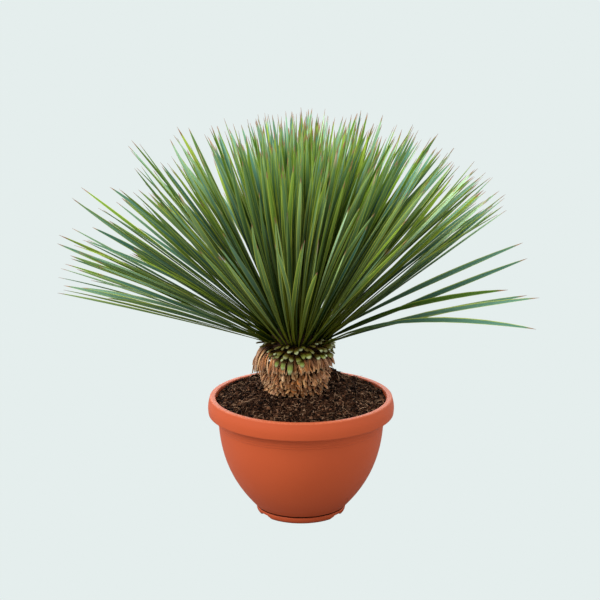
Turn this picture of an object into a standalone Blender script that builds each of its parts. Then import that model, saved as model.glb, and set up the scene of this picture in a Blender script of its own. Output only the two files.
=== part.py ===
"""Potted yucca: a round crown of narrow leaves on a short trunk clad in cut leaf bases, in a garden bowl.

Metres, +Z up. The origin is the middle of the bowl's foot on the ground, and the front of the plant
looks along -Y. Every object is one closed solid, and neighbours keep a seam between them.
"""

import math
import random

import bmesh
import bpy
from mathutils import Vector

# Seam between solids that touch
SEAM = 0.0003
PAD_SEAM = 0.0005
# Edges that turn by more degrees than this are shaded sharp
SHARP_ANGLE = 40.0

# Bowl
POT_HEIGHT = 0.260
POT_SIDES = 40
RIM_OUTER = 0.200
RIM_TOP_OUTER = 0.197
RIM_INNER = 0.1844
RIM_BAND = 0.038
RIM_ROUNDING = 0.004
RIM_EDGE = 0.002
WALL_OUTER = 0.1795
WALL_THICKNESS = 0.004
WALL_STEPS = 6
FOOT_TOP = 0.014
FOOT_WAIST = 0.0981
FOOT_BULGE = (0.0945, 0.0065)
WALL_LOW_HANDLE = (0.1368, 0.057)
WALL_HIGH_HANDLE_HEIGHT = 0.1146
FOOT_GROUND_OUTER = 0.087
FOOT_INNER = 0.079
FLOOR_UNDERSIDE = 0.010
FLOOR_TOP = 0.015
NOTCH_AZIMUTHS = (-35.0, 90.0, 215.0)
NOTCH_WIDTH = 0.034
NOTCH_HEIGHT = 0.008
NOTCH_DEPTH = 0.030
DRAIN_HOLES = 5
DRAIN_CIRCLE = 0.052
DRAIN_DIAMETER = 0.010
DRAIN_TURN = 20.0

# Soil
SOIL_AT_WALL = 0.2515
SOIL_AT_TRUNK = 0.271
SOIL_SEAT_RADIUS = 0.078
SOIL_SEAT_EDGE = 0.020
SOIL_MOUND = 0.012
SOIL_MOUND_PLACE = Vector((0.080, 0.105))
SOIL_MOUND_WIDTH = 0.045
SOIL_SIDES = 32
SOIL_RING_HEIGHTS = (0.055, 0.110, 0.165)

# Trunk and the sphere of its growing tip
CROWN_CENTRE = Vector((-0.012, 0.0, 0.368))
TIP_RADIUS = 0.055
TRUNK_FOOT = 0.196
TRUNK_FOOT_RADIUS = 0.040
TRUNK_RADIUS_AT_SOIL = 0.050
TRUNK_SIDES = 24

# Cut leaf bases
DRY_ROWS = 8
GREEN_ROWS = 3
ROW_LOWEST = 0.2785
ROW_RISE = 0.0090
COLLAR_HEIGHT = 0.0086
COLLAR_THICKNESS = 0.004
STUBS_IN_ROW = 24
STUB_END_WIDTH = 0.0085
STUB_END_THICKNESS = 0.0030
LONGEST_STUB_ROW = 7
TOP_ROW_ARC = (45.0, 315.0)
CLADDING_AT_SOIL = 0.0665
CLADDING_WIDEST = 0.0850
DROP_AT_SOIL = 0.0085
DROP_MOST = 0.0200
DROP_GREEN = 0.0080

# Leaves
LEAF_LENGTH = 0.472
LEAF_WIDTH = 0.0105
LEAF_THICKNESS = 0.0024
# Along a blade from its root: where, and the width and thickness there against the leaf's own
BLADE_STATIONS = ((0.3, 0.95, 1.0), (0.7, 0.9, 0.7))
PAD_THICKNESS = 0.004
UPRIGHT_SHORTER = 0.040
SLANTED_LONGER = 0.030
LOWEST_ROOT = 12.0
HIGHEST_ROOT = 87.0
LOWEST_RISE = 29.0
LEFT_SIDE_LOWER = 12.0
TRIMMED_SIDE_HIGHER = 10.0
TRIMMED_AZIMUTH = -20.0
SAG_AT_TIP = 0.034
AZIMUTH_PLAY = 2.5
RISE_PLAY = 0.25
LENGTH_PLAY = (0.94, 1.04)
MOST_TWIST = 25.0
REACH_X = 0.510
REACH_Y = 0.468
CROWN_HEIGHT = 0.878

# Each tier of leaves: name, first and last azimuth, tufts, rows and columns of a tuft, and how far up
# the growing tip it sits, from 0 at its lowest leaves to 1 at its middle
LEAF_TIERS = (
    ("lower_leaves", 0.0, 360.0, 12, 3, 3, 0.0, 0.2),
    ("middle_leaves", 0.0, 360.0, 10, 3, 3, 0.2, 0.4),
    ("upper_leaves", 10.0, 370.0, 8, 3, 3, 0.4, 0.6),
    ("inner_leaves", 0.0, 360.0, 4, 3, 4, 0.6, 0.8),
    ("heart_leaves", 0.0, 360.0, 2, 2, 4, 0.8, 0.97),
)

# The leaves that stand apart on the right, in pairs: azimuth, rise, length and sag at the tip
LONE_PAIRS = (
    ((-24.0, 23.5, 0.515, 0.115), (-12.0, 22.0, 0.466, 0.040)),
    ((-4.0, 17.7, 0.482, 0.035), (2.0, 25.9, 0.488, 0.030)),
    ((14.0, 25.2, 0.504, 0.020), (24.0, 19.5, 0.499, 0.100)),
)
LONE_ROOT_LOWEST = 1.0
LONE_ROOT_HIGHEST = 11.0
LONE_ARC = 43.0

COLOURS = {
    "terracotta_plastic": (0.46, 0.085, 0.034),
    "soil": (0.030, 0.016, 0.010),
    "wood": (0.060, 0.030, 0.014),
    "dry_base": (0.30, 0.14, 0.055),
    "green_base": (0.13, 0.17, 0.05),
    "leaf": (0.075, 0.125, 0.035),
}


def clear_scene():
    for item in list(bpy.data.objects):
        bpy.data.objects.remove(item)


def principled(name, colour, roughness):
    material = bpy.data.materials.new(name)
    material.use_nodes = True
    shader = material.node_tree.nodes["Principled BSDF"]
    shader.inputs["Base Color"].default_value = (*colour, 1.0)
    shader.inputs["Roughness"].default_value = roughness
    shader.inputs["Metallic"].default_value = 0.0
    return material


def add_object(name, mesh_builder, colour, roughness):
    """One named object from a finished bmesh, with its own material."""
    bmesh.ops.recalc_face_normals(mesh_builder, faces=mesh_builder.faces)
    mesh = bpy.data.meshes.new(name)
    mesh_builder.to_mesh(mesh)
    mesh_builder.free()
    mesh.shade_smooth()
    mesh.set_sharp_from_angle(angle=math.radians(SHARP_ANGLE))
    piece = bpy.data.objects.new(name, mesh)
    bpy.context.scene.collection.objects.link(piece)
    mesh.materials.append(principled(name, COLOURS[colour], roughness))
    return piece


def polar(radius, azimuth_degrees, height=0.0):
    angle = math.radians(azimuth_degrees)
    return Vector((radius * math.cos(angle), radius * math.sin(angle), height))


def direction(azimuth_degrees, rise_degrees):
    rise = math.radians(rise_degrees)
    return polar(math.cos(rise), azimuth_degrees, math.sin(rise))


def blend(low, high, share):
    return low + (high - low) * share


def smooth_share(value):
    """A share from 0 to 1 that starts and ends level."""
    value = min(1.0, max(0.0, value))
    return value * value * (3.0 - 2.0 * value)


def bezier(start, handle, other_handle, end, steps):
    """Points along a cubic curve, without its first one."""
    points = []
    for step in range(1, steps + 1):
        t = step / steps
        u = 1.0 - t
        weights = (u**3, 3 * u * u * t, 3 * u * t * t, t**3)
        corners = (start, handle, other_handle, end)
        points.append(tuple(sum(w * c[axis] for w, c in zip(weights, corners)) for axis in range(2)))
    return points


def turned(outline, sides, centre=Vector((0.0, 0.0, 0.0))):
    """A closed turned solid: the outline of (radius, height) starts and ends on the axis."""
    builder = bmesh.new()
    rings = []
    for radius, height in outline:
        if radius == 0.0:
            rings.append([builder.verts.new(centre + Vector((0.0, 0.0, height)))])
            continue
        rings.append(
            [builder.verts.new(centre + polar(radius, 360.0 * side / sides, height)) for side in range(sides)]
        )
    for lower, upper in zip(rings, rings[1:]):
        for side in range(sides):
            after = (side + 1) % sides
            if len(lower) == 1:
                builder.faces.new((lower[0], upper[after], upper[side]))
            elif len(upper) == 1:
                builder.faces.new((lower[side], lower[after], upper[0]))
            else:
                builder.faces.new((lower[side], lower[after], upper[after], upper[side]))
    return builder


def wall_curve(inward):
    """The bowl's side from the foot to under the rim, moved inward by a wall's thickness for its inside."""
    return bezier(
        (FOOT_WAIST - inward, FOOT_TOP),
        (WALL_LOW_HANDLE[0] - inward, WALL_LOW_HANDLE[1]),
        (WALL_OUTER - inward, WALL_HIGH_HANDLE_HEIGHT),
        (WALL_OUTER - inward, POT_HEIGHT - RIM_BAND),
        WALL_STEPS,
    )


def pot_outline():
    rim_bottom = POT_HEIGHT - RIM_BAND
    outside = [
        (0.0, FLOOR_UNDERSIDE),
        (FOOT_INNER, FLOOR_UNDERSIDE),
        (FOOT_INNER, 0.0),
        (FOOT_GROUND_OUTER, 0.0),
        FOOT_BULGE,
        (FOOT_WAIST, FOOT_TOP),
    ]
    rim = [
        (RIM_OUTER - RIM_ROUNDING, rim_bottom),
        (RIM_OUTER, rim_bottom + RIM_ROUNDING),
        (RIM_TOP_OUTER, POT_HEIGHT - RIM_ROUNDING),
        (RIM_TOP_OUTER - RIM_ROUNDING, POT_HEIGHT),
        (RIM_INNER + RIM_EDGE, POT_HEIGHT),
        (RIM_INNER, POT_HEIGHT - RIM_EDGE),
        (WALL_OUTER - WALL_THICKNESS, rim_bottom),
    ]
    inside = wall_curve(WALL_THICKNESS)[:-1][::-1]
    floor = [(FOOT_WAIST - 2 * WALL_THICKNESS, FLOOR_TOP), (0.0, FLOOR_TOP)]
    return outside + wall_curve(0.0) + rim + inside + floor


def cutter(name, builder):
    bmesh.ops.recalc_face_normals(builder, faces=builder.faces)
    mesh = bpy.data.meshes.new(name)
    builder.to_mesh(mesh)
    builder.free()
    tool = bpy.data.objects.new(name, mesh)
    bpy.context.scene.collection.objects.link(tool)
    tool.hide_render = True
    tool.display_type = "WIRE"
    return tool


def cut(piece, tool):
    modifier = piece.modifiers.new(tool.name, "BOOLEAN")
    modifier.operation = "DIFFERENCE"
    modifier.solver = "EXACT"
    modifier.object = tool


def make_pot():
    pot = add_object("pot", turned(pot_outline(), POT_SIDES), "terracotta_plastic", 0.5)
    for number, azimuth in enumerate(NOTCH_AZIMUTHS, 1):
        builder = bmesh.new()
        bmesh.ops.create_cube(builder, size=1.0)
        bmesh.ops.scale(builder, verts=builder.verts, vec=(NOTCH_DEPTH, NOTCH_WIDTH, 2 * NOTCH_HEIGHT))
        tool = cutter(f"notch_cutter_{number}", builder)
        tool.location = polar(FOOT_GROUND_OUTER, azimuth)
        tool.rotation_euler = (0.0, 0.0, math.radians(azimuth))
        cut(pot, tool)
    for number in range(DRAIN_HOLES):
        builder = bmesh.new()
        depth = 4 * (FLOOR_TOP - FLOOR_UNDERSIDE)
        radius = DRAIN_DIAMETER / 2
        bmesh.ops.create_cone(builder, cap_ends=True, segments=8, radius1=radius, radius2=radius, depth=depth)
        tool = cutter(f"drain_cutter_{number + 1}", builder)
        tool.location = polar(DRAIN_CIRCLE, DRAIN_TURN + 360.0 * number / DRAIN_HOLES, FLOOR_UNDERSIDE)
        cut(pot, tool)


def bowl_inside_radius(height):
    """Radius of the bowl's inner wall at a height."""
    outline = [(FOOT_WAIST - 2 * WALL_THICKNESS, FLOOR_TOP), *wall_curve(WALL_THICKNESS)]
    outline.append((RIM_INNER, POT_HEIGHT - RIM_EDGE))
    for lower, upper in zip(outline, outline[1:]):
        if height <= upper[1]:
            return blend(lower[0], upper[0], (height - lower[1]) / (upper[1] - lower[1]))
    return RIM_INNER


def soil_height(place):
    """Height of the soil at a place, mounded to the trunk and highest behind it on the right."""
    from_trunk = (place - CROWN_CENTRE.xy).length
    up_slope = smooth_share((RIM_INNER - place.length) / (RIM_INNER - SOIL_SEAT_RADIUS))
    height = blend(SOIL_AT_WALL, SOIL_AT_TRUNK, up_slope)
    away = (place - SOIL_MOUND_PLACE).length / SOIL_MOUND_WIDTH
    clear_of_trunk = smooth_share((from_trunk - SOIL_SEAT_RADIUS) / SOIL_SEAT_EDGE)
    return height + SOIL_MOUND * math.exp(-away * away) * clear_of_trunk


def make_soil():
    """Soil that fills the bowl, with a socket for the buried end of the trunk."""
    builder = bmesh.new()
    axis = CROWN_CENTRE.xy

    def ring(radius_at, height_at):
        made = []
        for side in range(SOIL_SIDES):
            spot = radius_at(360.0 * side / SOIL_SIDES)
            made.append(builder.verts.new((spot.x, spot.y, height_at(spot))))
        return made

    def about_pot(radius):
        return lambda azimuth: polar(radius, azimuth).xy

    def about_trunk(radius):
        return lambda azimuth: axis + polar(radius, azimuth).xy

    floor_top = FLOOR_TOP + SEAM
    # A many-sided wall is nearest to the axis at the middles of its sides
    flats = math.cos(math.pi / POT_SIDES)
    rings = [[builder.verts.new((0.0, 0.0, floor_top))]]
    for height in (floor_top, *SOIL_RING_HEIGHTS, POT_HEIGHT - RIM_BAND):
        radius = bowl_inside_radius(height) * flats - 2 * SEAM
        rings.append(ring(about_pot(radius), lambda spot, height=height: height))
    rings.append(ring(about_pot(bowl_inside_radius(SOIL_AT_WALL) * flats - 2 * SEAM), soil_height))
    for share in (0.25, 0.5, 0.75):
        rings.append(
            ring(
                lambda azimuth, share=share: about_pot(RIM_INNER - 0.003)(azimuth).lerp(
                    about_trunk(SOIL_SEAT_RADIUS)(azimuth), share
                ),
                soil_height,
            )
        )
    rings.append(ring(about_trunk(SOIL_SEAT_RADIUS), lambda spot: SOIL_AT_TRUNK))
    rings.append(ring(about_trunk(TRUNK_RADIUS_AT_SOIL + 3 * SEAM), lambda spot: SOIL_AT_TRUNK))
    rings.append(ring(about_trunk(TRUNK_FOOT_RADIUS + 3 * SEAM), lambda spot: TRUNK_FOOT - SEAM))
    rings.append([builder.verts.new((axis.x, axis.y, TRUNK_FOOT - SEAM))])
    for lower, upper in zip(rings, rings[1:]):
        for side in range(SOIL_SIDES):
            after = (side + 1) % SOIL_SIDES
            if len(lower) == 1:
                builder.faces.new((lower[0], upper[after], upper[side]))
            elif len(upper) == 1:
                builder.faces.new((lower[side], lower[after], upper[0]))
            else:
                builder.faces.new((lower[side], lower[after], upper[after], upper[side]))
    add_object("soil", builder, "soil", 0.95)


def trunk_radius(height):
    """Radius of the bare trunk, from its buried foot to its growing tip."""
    if height > CROWN_CENTRE.z:
        return math.sqrt(TIP_RADIUS**2 - (height - CROWN_CENTRE.z) ** 2)
    if height <= SOIL_AT_TRUNK:
        share = (height - TRUNK_FOOT) / (SOIL_AT_TRUNK - TRUNK_FOOT)
        return blend(TRUNK_FOOT_RADIUS, TRUNK_RADIUS_AT_SOIL, share)
    share = (height - SOIL_AT_TRUNK) / (CROWN_CENTRE.z - SOIL_AT_TRUNK)
    return blend(TRUNK_RADIUS_AT_SOIL, TIP_RADIUS, share)


def make_trunk():
    heights = (TRUNK_FOOT, SOIL_AT_TRUNK, CROWN_CENTRE.z)
    outline = [(0.0, TRUNK_FOOT)] + [(trunk_radius(height), height) for height in heights]
    for rise in range(10, 90, 10):
        angle = math.radians(rise)
        outline.append((TIP_RADIUS * math.cos(angle), CROWN_CENTRE.z + TIP_RADIUS * math.sin(angle)))
    outline.append((0.0, CROWN_CENTRE.z + TIP_RADIUS))
    axis = Vector((CROWN_CENTRE.x, CROWN_CENTRE.y, 0.0))
    add_object("trunk", turned(outline, TRUNK_SIDES, axis), "wood", 0.9)


def stub_end(row):
    """How far from the trunk's axis a row's stubs reach, and how far they hang below their collar."""
    top_row = DRY_ROWS + GREEN_ROWS - 1
    if row <= LONGEST_STUB_ROW:
        share = smooth_share(row / LONGEST_STUB_ROW)
        return blend(CLADDING_AT_SOIL, CLADDING_WIDEST, share), blend(DROP_AT_SOIL, DROP_MOST, share)
    share = (row - LONGEST_STUB_ROW) / (top_row - LONGEST_STUB_ROW)
    return CLADDING_WIDEST, blend(DROP_MOST, DROP_GREEN, share)


def make_base_row(name, row, colour, arc=(0.0, 360.0)):
    """A collar that clasps the trunk, with one cut stub grown out of each of its sides."""
    chance = random.Random(100 + row)
    builder = bmesh.new()
    low = ROW_LOWEST + row * ROW_RISE
    high = low + COLLAR_HEIGHT
    reach, drop = stub_end(row)
    axis = Vector((CROWN_CENTRE.x, CROWN_CENTRE.y, 0.0))
    whole = arc[1] - arc[0] == 360.0
    stubs = round(STUBS_IN_ROW * (arc[1] - arc[0]) / 360.0)
    corners_round = stubs if whole else stubs + 1
    rings = []
    for height, outward in (
        (low, SEAM),
        (low, SEAM + COLLAR_THICKNESS),
        (high, SEAM + COLLAR_THICKNESS),
        (high, SEAM),
    ):
        radius = trunk_radius(height) + outward
        azimuths = [blend(*arc, side / stubs) for side in range(corners_round)]
        rings.append([builder.verts.new(axis + polar(radius, azimuth, height)) for azimuth in azimuths])
    inner_low, outer_low, outer_high, inner_high = rings
    if not whole:
        for side in (0, -1):
            builder.faces.new([ring[side] for ring in rings])
    for side in range(stubs):
        after = (side + 1) % corners_round
        for lower, upper in ((inner_low, outer_low), (outer_high, inner_high), (inner_high, inner_low)):
            builder.faces.new((lower[side], lower[after], upper[after], upper[side]))
        root = (outer_low[side], outer_low[after], outer_high[after], outer_high[side])
        azimuth = blend(*arc, (side + 0.5) / stubs) + chance.uniform(-1.5, 1.5)
        out = reach * chance.uniform(0.975, 1.0)
        middle = axis + polar(out, azimuth, blend(low, high, 0.5) - drop * chance.uniform(0.94, 1.0))
        across = polar(STUB_END_WIDTH / 2, azimuth + 90.0)
        hang = math.atan2(drop, reach - trunk_radius(low))
        up = polar(math.sin(hang), azimuth, math.cos(hang)) * (STUB_END_THICKNESS / 2)
        corners = (middle - across - up, middle + across - up, middle + across + up, middle - across + up)
        end = [builder.verts.new(corner) for corner in corners]
        for corner in range(4):
            following = (corner + 1) % 4
            builder.faces.new((root[corner], root[following], end[following], end[corner]))
        builder.faces.new(end)
    add_object(name, builder, colour, 0.85)


def make_leaf_bases():
    for row in range(DRY_ROWS):
        make_base_row(f"dry_leaf_bases_row_{row + 1:02d}", row, "dry_base")
    for row in range(GREEN_ROWS):
        arc = TOP_ROW_ARC if row == GREEN_ROWS - 1 else (0.0, 360.0)
        make_base_row(f"green_leaf_bases_row_{row + 1:02d}", DRY_ROWS + row, "green_base", arc)


def lowest_rise(azimuth):
    """Rise of the lowest leaves: least on the left side, most where the right side was trimmed."""
    leftward = max(0.0, -math.cos(math.radians(azimuth)))
    to_trimmed_side = max(0.0, math.cos(math.radians(azimuth - TRIMMED_AZIMUTH)))
    return LOWEST_RISE - LEFT_SIDE_LOWER * leftward**1.5 + TRIMMED_SIDE_HIGHER * to_trimmed_side**2


def root_rise(share):
    return blend(LOWEST_ROOT, HIGHEST_ROOT, share)


def in_reach(root, tip):
    """A tip moved back along its leaf until it is inside the crown's outline."""
    way = tip - root
    share = 1.0
    for axis, reach in ((0, REACH_X), (1, REACH_Y)):
        if abs(tip[axis]) > reach:
            limit = math.copysign(reach, tip[axis])
            share = min(share, (limit - root[axis]) / way[axis])
    if tip.z > CROWN_HEIGHT:
        share = min(share, (CROWN_HEIGHT - root.z) / way.z)
    return root + way * share


def grow_leaf(builder, root, azimuth, rise, length, sag, twist):
    """Extends a pad's cell, the four corners of root, into a blade that narrows to its tip."""
    start = sum((corner.co for corner in root), Vector()) / 4
    way = direction(azimuth, rise)
    tip = in_reach(start, start + way * length - Vector((0.0, 0.0, sag)))
    across = polar(1.0, azimuth + 90.0)
    face_up = way.cross(across)
    if face_up.z < 0:
        face_up.negate()
    turn = math.radians(twist)
    ring = list(root)
    for share, width, thickness in BLADE_STATIONS:
        straight = start.lerp(tip, share)
        middle = straight + Vector((0.0, 0.0, sag * share * (1.0 - share)))
        angle = turn * share
        side = (across * math.cos(angle) + face_up * math.sin(angle)) * (LEAF_WIDTH * width / 2)
        top = (face_up * math.cos(angle) - across * math.sin(angle)) * (LEAF_THICKNESS * thickness / 2)
        corners = (middle - side - top, middle + side - top, middle + side + top, middle - side + top)
        following = [builder.verts.new(corner) for corner in corners]
        for corner in range(4):
            after = (corner + 1) % 4
            builder.faces.new((ring[corner], ring[after], following[after], following[corner]))
        ring = following
    point = builder.verts.new(tip)
    for corner in range(4):
        builder.faces.new((ring[corner], ring[(corner + 1) % 4], point))


def pad(builder, azimuth_from, azimuth_to, rise_from, rise_to, columns, rows):
    """The grown-together feet of a tuft: a curved tile on the growing tip. Returns its outer grid."""
    seam = math.degrees(PAD_SEAM / 2 / TIP_RADIUS)
    rise_from += seam
    rise_to -= seam
    grids = []
    for radius in (TIP_RADIUS + 2 * SEAM, TIP_RADIUS + 2 * SEAM + PAD_THICKNESS):
        grid = []
        for row in range(rows + 1):
            rise = blend(rise_from, rise_to, row / rows)
            narrower = seam / math.cos(math.radians(rise))
            line = []
            for column in range(columns + 1):
                azimuth = blend(azimuth_from + narrower, azimuth_to - narrower, column / columns)
                line.append(builder.verts.new(CROWN_CENTRE + direction(azimuth, rise) * radius))
            grid.append(line)
        grids.append(grid)
    inner, outer = grids
    for row in range(rows):
        for column in range(columns):
            cell = ((row, column), (row, column + 1), (row + 1, column + 1), (row + 1, column))
            builder.faces.new([inner[r][c] for r, c in cell])
    around = [(0, c) for c in range(columns)]
    around += [(r, columns) for r in range(rows)]
    around += [(rows, c) for c in range(columns, 0, -1)]
    around += [(r, 0) for r in range(rows, 0, -1)]
    for (r, c), (next_r, next_c) in zip(around, around[1:] + around[:1]):
        builder.faces.new((inner[r][c], inner[next_r][next_c], outer[next_r][next_c], outer[r][c]))
    return outer


def cells(grid):
    """Each cell of a grid as its row, its column and its four corners."""
    for row, (lower, upper) in enumerate(zip(grid, grid[1:])):
        for column in range(len(lower) - 1):
            yield row, column, (lower[column], lower[column + 1], upper[column + 1], upper[column])


def make_tuft(name, azimuths, shares, columns, rows, chance):
    """Neighbouring leaves whose feet have grown together."""
    builder = bmesh.new()
    grid = pad(builder, *azimuths, root_rise(shares[0]), root_rise(shares[1]), columns, rows)
    for row, column, root in cells(grid):
        azimuth = blend(*azimuths, (column + 0.5) / columns) + chance.uniform(-AZIMUTH_PLAY, AZIMUTH_PLAY)
        share = blend(*shares, (row + 0.5) / rows)
        to_next_row = (90.0 - lowest_rise(azimuth)) * (shares[1] - shares[0]) / rows
        rise = blend(lowest_rise(azimuth), 90.0, share) + chance.uniform(-RISE_PLAY, RISE_PLAY) * to_next_row
        upright = math.sin(math.radians(rise)) ** 2
        slanted = math.sin(math.radians(2 * rise)) ** 2
        length = LEAF_LENGTH - UPRIGHT_SHORTER * upright + SLANTED_LONGER * slanted
        length *= chance.uniform(*LENGTH_PLAY)
        sag = SAG_AT_TIP * (1.0 - upright)
        grow_leaf(builder, root, azimuth, rise, length, sag, chance.uniform(-MOST_TWIST, MOST_TWIST))
    add_object(name, builder, "leaf", 0.55)


def make_leaves():
    chance = random.Random(7)
    for name, first, last, tufts, rows, columns, low, high in LEAF_TIERS:
        for number in range(tufts):
            azimuths = (blend(first, last, number / tufts), blend(first, last, (number + 1) / tufts))
            make_tuft(f"{name}_{number + 1:02d}", azimuths, (low, high), columns, rows, chance)


def make_lone_leaves():
    """The low leaves that stand apart on the right, two on each pad."""
    width = 2 * LONE_ARC / len(LONE_PAIRS)
    for number, pair in enumerate(LONE_PAIRS):
        builder = bmesh.new()
        first = -LONE_ARC + width * number
        grid = pad(builder, first, first + width, LONE_ROOT_LOWEST, LONE_ROOT_HIGHEST, 2, 1)
        for _, column, root in cells(grid):
            azimuth, rise, length, sag = pair[column]
            grow_leaf(builder, root, azimuth, rise, length, sag, 0.0)
        add_object(f"lone_leaves_{number + 1:02d}", builder, "leaf", 0.55)


def main():
    clear_scene()
    make_pot()
    make_soil()
    make_trunk()
    make_leaf_bases()
    make_leaves()
    make_lone_leaves()


if __name__ == "__main__":
    main()
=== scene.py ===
"""Looks of a potted yucca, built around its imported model.

A round crown of narrow stiff leaves stands on a short trunk clad in cut leaf bases, in a wide
moulded bowl of soil. Metres, +Z up; the front of the plant looks along -Y.
"""

import logging
import math
from collections.abc import Iterator, Sequence
from dataclasses import dataclass, field
from enum import Enum
from random import Random

import bmesh
import bpy
import numpy as np
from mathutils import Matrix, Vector, noise


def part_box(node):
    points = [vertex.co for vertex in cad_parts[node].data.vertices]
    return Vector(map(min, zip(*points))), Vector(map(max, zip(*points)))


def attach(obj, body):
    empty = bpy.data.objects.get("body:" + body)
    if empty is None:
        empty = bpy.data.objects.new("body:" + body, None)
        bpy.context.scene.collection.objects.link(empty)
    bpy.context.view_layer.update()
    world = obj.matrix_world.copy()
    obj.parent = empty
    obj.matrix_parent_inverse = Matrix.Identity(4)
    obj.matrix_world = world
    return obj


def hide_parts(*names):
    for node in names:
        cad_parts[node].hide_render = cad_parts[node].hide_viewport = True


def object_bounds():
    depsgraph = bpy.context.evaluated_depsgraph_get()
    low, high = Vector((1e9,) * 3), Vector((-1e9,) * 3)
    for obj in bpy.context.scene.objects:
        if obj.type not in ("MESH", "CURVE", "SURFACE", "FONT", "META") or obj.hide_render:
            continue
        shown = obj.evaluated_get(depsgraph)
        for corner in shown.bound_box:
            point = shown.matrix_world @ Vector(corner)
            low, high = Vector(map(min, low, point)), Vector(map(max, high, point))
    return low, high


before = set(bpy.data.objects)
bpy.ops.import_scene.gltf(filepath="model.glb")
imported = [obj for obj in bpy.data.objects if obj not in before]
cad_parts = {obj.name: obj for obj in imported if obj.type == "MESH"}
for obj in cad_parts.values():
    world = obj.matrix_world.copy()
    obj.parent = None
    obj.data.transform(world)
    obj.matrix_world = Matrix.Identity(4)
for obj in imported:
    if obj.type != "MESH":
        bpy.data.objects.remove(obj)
CAD_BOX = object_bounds()

BODY = "root"
LOG = logging.getLogger("potted_yucca")

Colour = tuple[float, float, float]
Range = tuple[float, float]
Outline = Sequence[tuple[float, float]]

BLACK = (0.0, 0.0, 0.0)
LEFT = 180.0
FRONT = -90.0
RIGHT = 0.0
TINY = 1e-6


class Slot(Enum):
    """The record's material slots."""

    PLASTIC = "terracotta_plastic"
    SOIL = "soil"
    BARK = "bark"
    DRY_BASE = "dry_leaf_base"
    GREEN_BASE = "green_leaf_base"
    LEAF = "leaf"


# ---------------------------------------------------------------- small sums


def blend(low: float, high: float, share: float) -> float:
    """The value that lies a share of the way from low to high."""
    return low + (high - low) * share


def smooth_share(value: float) -> float:
    """A share from 0 to 1 that starts and ends level."""
    value = min(1.0, max(0.0, value))
    return value * value * (3.0 - 2.0 * value)


def share_between(value: float, start: float, end: float) -> float:
    """A share that runs smoothly from 0 at the start to 1 at the end."""
    return smooth_share((value - start) / (end - start))


def polar(radius: float, azimuth: float, height: float = 0.0) -> Vector:
    """A point at a radius, an azimuth in degrees and a height."""
    angle = math.radians(azimuth)
    return Vector((radius * math.cos(angle), radius * math.sin(angle), height))


def direction(azimuth: float, rise: float) -> Vector:
    """The unit vector at an azimuth and a rise above level, both in degrees."""
    angle = math.radians(rise)
    return polar(math.cos(angle), azimuth, math.sin(angle))


def facing(azimuth: float, towards: float) -> float:
    """How far one azimuth looks towards another, from 0 to 1, both in degrees."""
    return max(0.0, math.cos(math.radians(azimuth - towards)))


def bezier(corners: Sequence[Sequence[float]], steps: int) -> Outline:
    """Points along a cubic curve of an outline.

    Args:
        corners: Its start, its two handles and its end.
        steps: The number of points after the start.

    Returns:
        The points, without the start.
    """
    points = []
    for step in range(1, steps + 1):
        t = step / steps
        u = 1.0 - t
        weights = (u**3, 3 * u * u * t, 3 * u * t * t, t**3)
        radius, height = (sum(w * c[axis] for w, c in zip(weights, corners)) for axis in range(2))
        points.append((radius, height))
    return points


def arc(centre: Sequence[float], radius: float, start: float, end: float, steps: int) -> Outline:
    """Points round an arc of a turned outline.

    Args:
        centre: The arc's centre, as (radius, height).
        radius: The arc's own radius.
        start: Its first angle in degrees, from outward towards up.
        end: Its last angle.
        steps: The number of points after the first.

    Returns:
        The points as (radius, height), both ends included.
    """
    points = []
    for step in range(steps + 1):
        angle = math.radians(blend(start, end, step / steps))
        points.append((centre[0] + radius * math.cos(angle), centre[1] + radius * math.sin(angle)))
    return points


# ---------------------------------------------------------------- wiring of node trees


class Wire:
    """An output socket of a node. Arithmetic on it adds Math nodes."""

    def __init__(self, board: "Board", socket: bpy.types.NodeSocket) -> None:
        """Keeps the socket and the board that it is on."""
        self.board = board
        self.socket = socket

    def named(self, output: str) -> "Wire":
        """Another output of the same node."""
        return Wire(self.board, self.socket.node.outputs[output])

    def _math(self, operation: str, first: "Source", second: "Source") -> "Wire":
        """One Math node with two values."""
        return self.board.add("ShaderNodeMath", {"operation": operation}, {0: first, 1: second})

    def __add__(self, other: "Source") -> "Wire":
        """This value plus another."""
        return self._math("ADD", self, other)

    def __radd__(self, other: "Source") -> "Wire":
        """Another value plus this one."""
        return self._math("ADD", other, self)

    def __sub__(self, other: "Source") -> "Wire":
        """This value less another."""
        return self._math("SUBTRACT", self, other)

    def __rsub__(self, other: "Source") -> "Wire":
        """Another value less this one."""
        return self._math("SUBTRACT", other, self)

    def __mul__(self, other: "Source") -> "Wire":
        """This value times another."""
        return self._math("MULTIPLY", self, other)

    def __rmul__(self, other: "Source") -> "Wire":
        """Another value times this one."""
        return self._math("MULTIPLY", other, self)

    def __pow__(self, other: "Source") -> "Wire":
        """This value raised to a power."""
        return self._math("POWER", self, other)

    def __abs__(self) -> "Wire":
        """This value without its sign."""
        return self._math("ABSOLUTE", self, 0.0)

    def fraction(self) -> "Wire":
        """What this value has after its point."""
        return self._math("FRACT", self, 0.0)

    def rising(self, low: "Source", high: "Source") -> "Wire":
        """A smooth step from 0 where this value is low to 1 where it is high."""
        return self.board.add(
            "ShaderNodeMapRange",
            {"interpolation_type": "SMOOTHSTEP"},
            {"Value": self, "From Min": low, "From Max": high},
        )


Source = Wire | float | int | bool | str | Sequence[float] | bpy.types.ID


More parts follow.
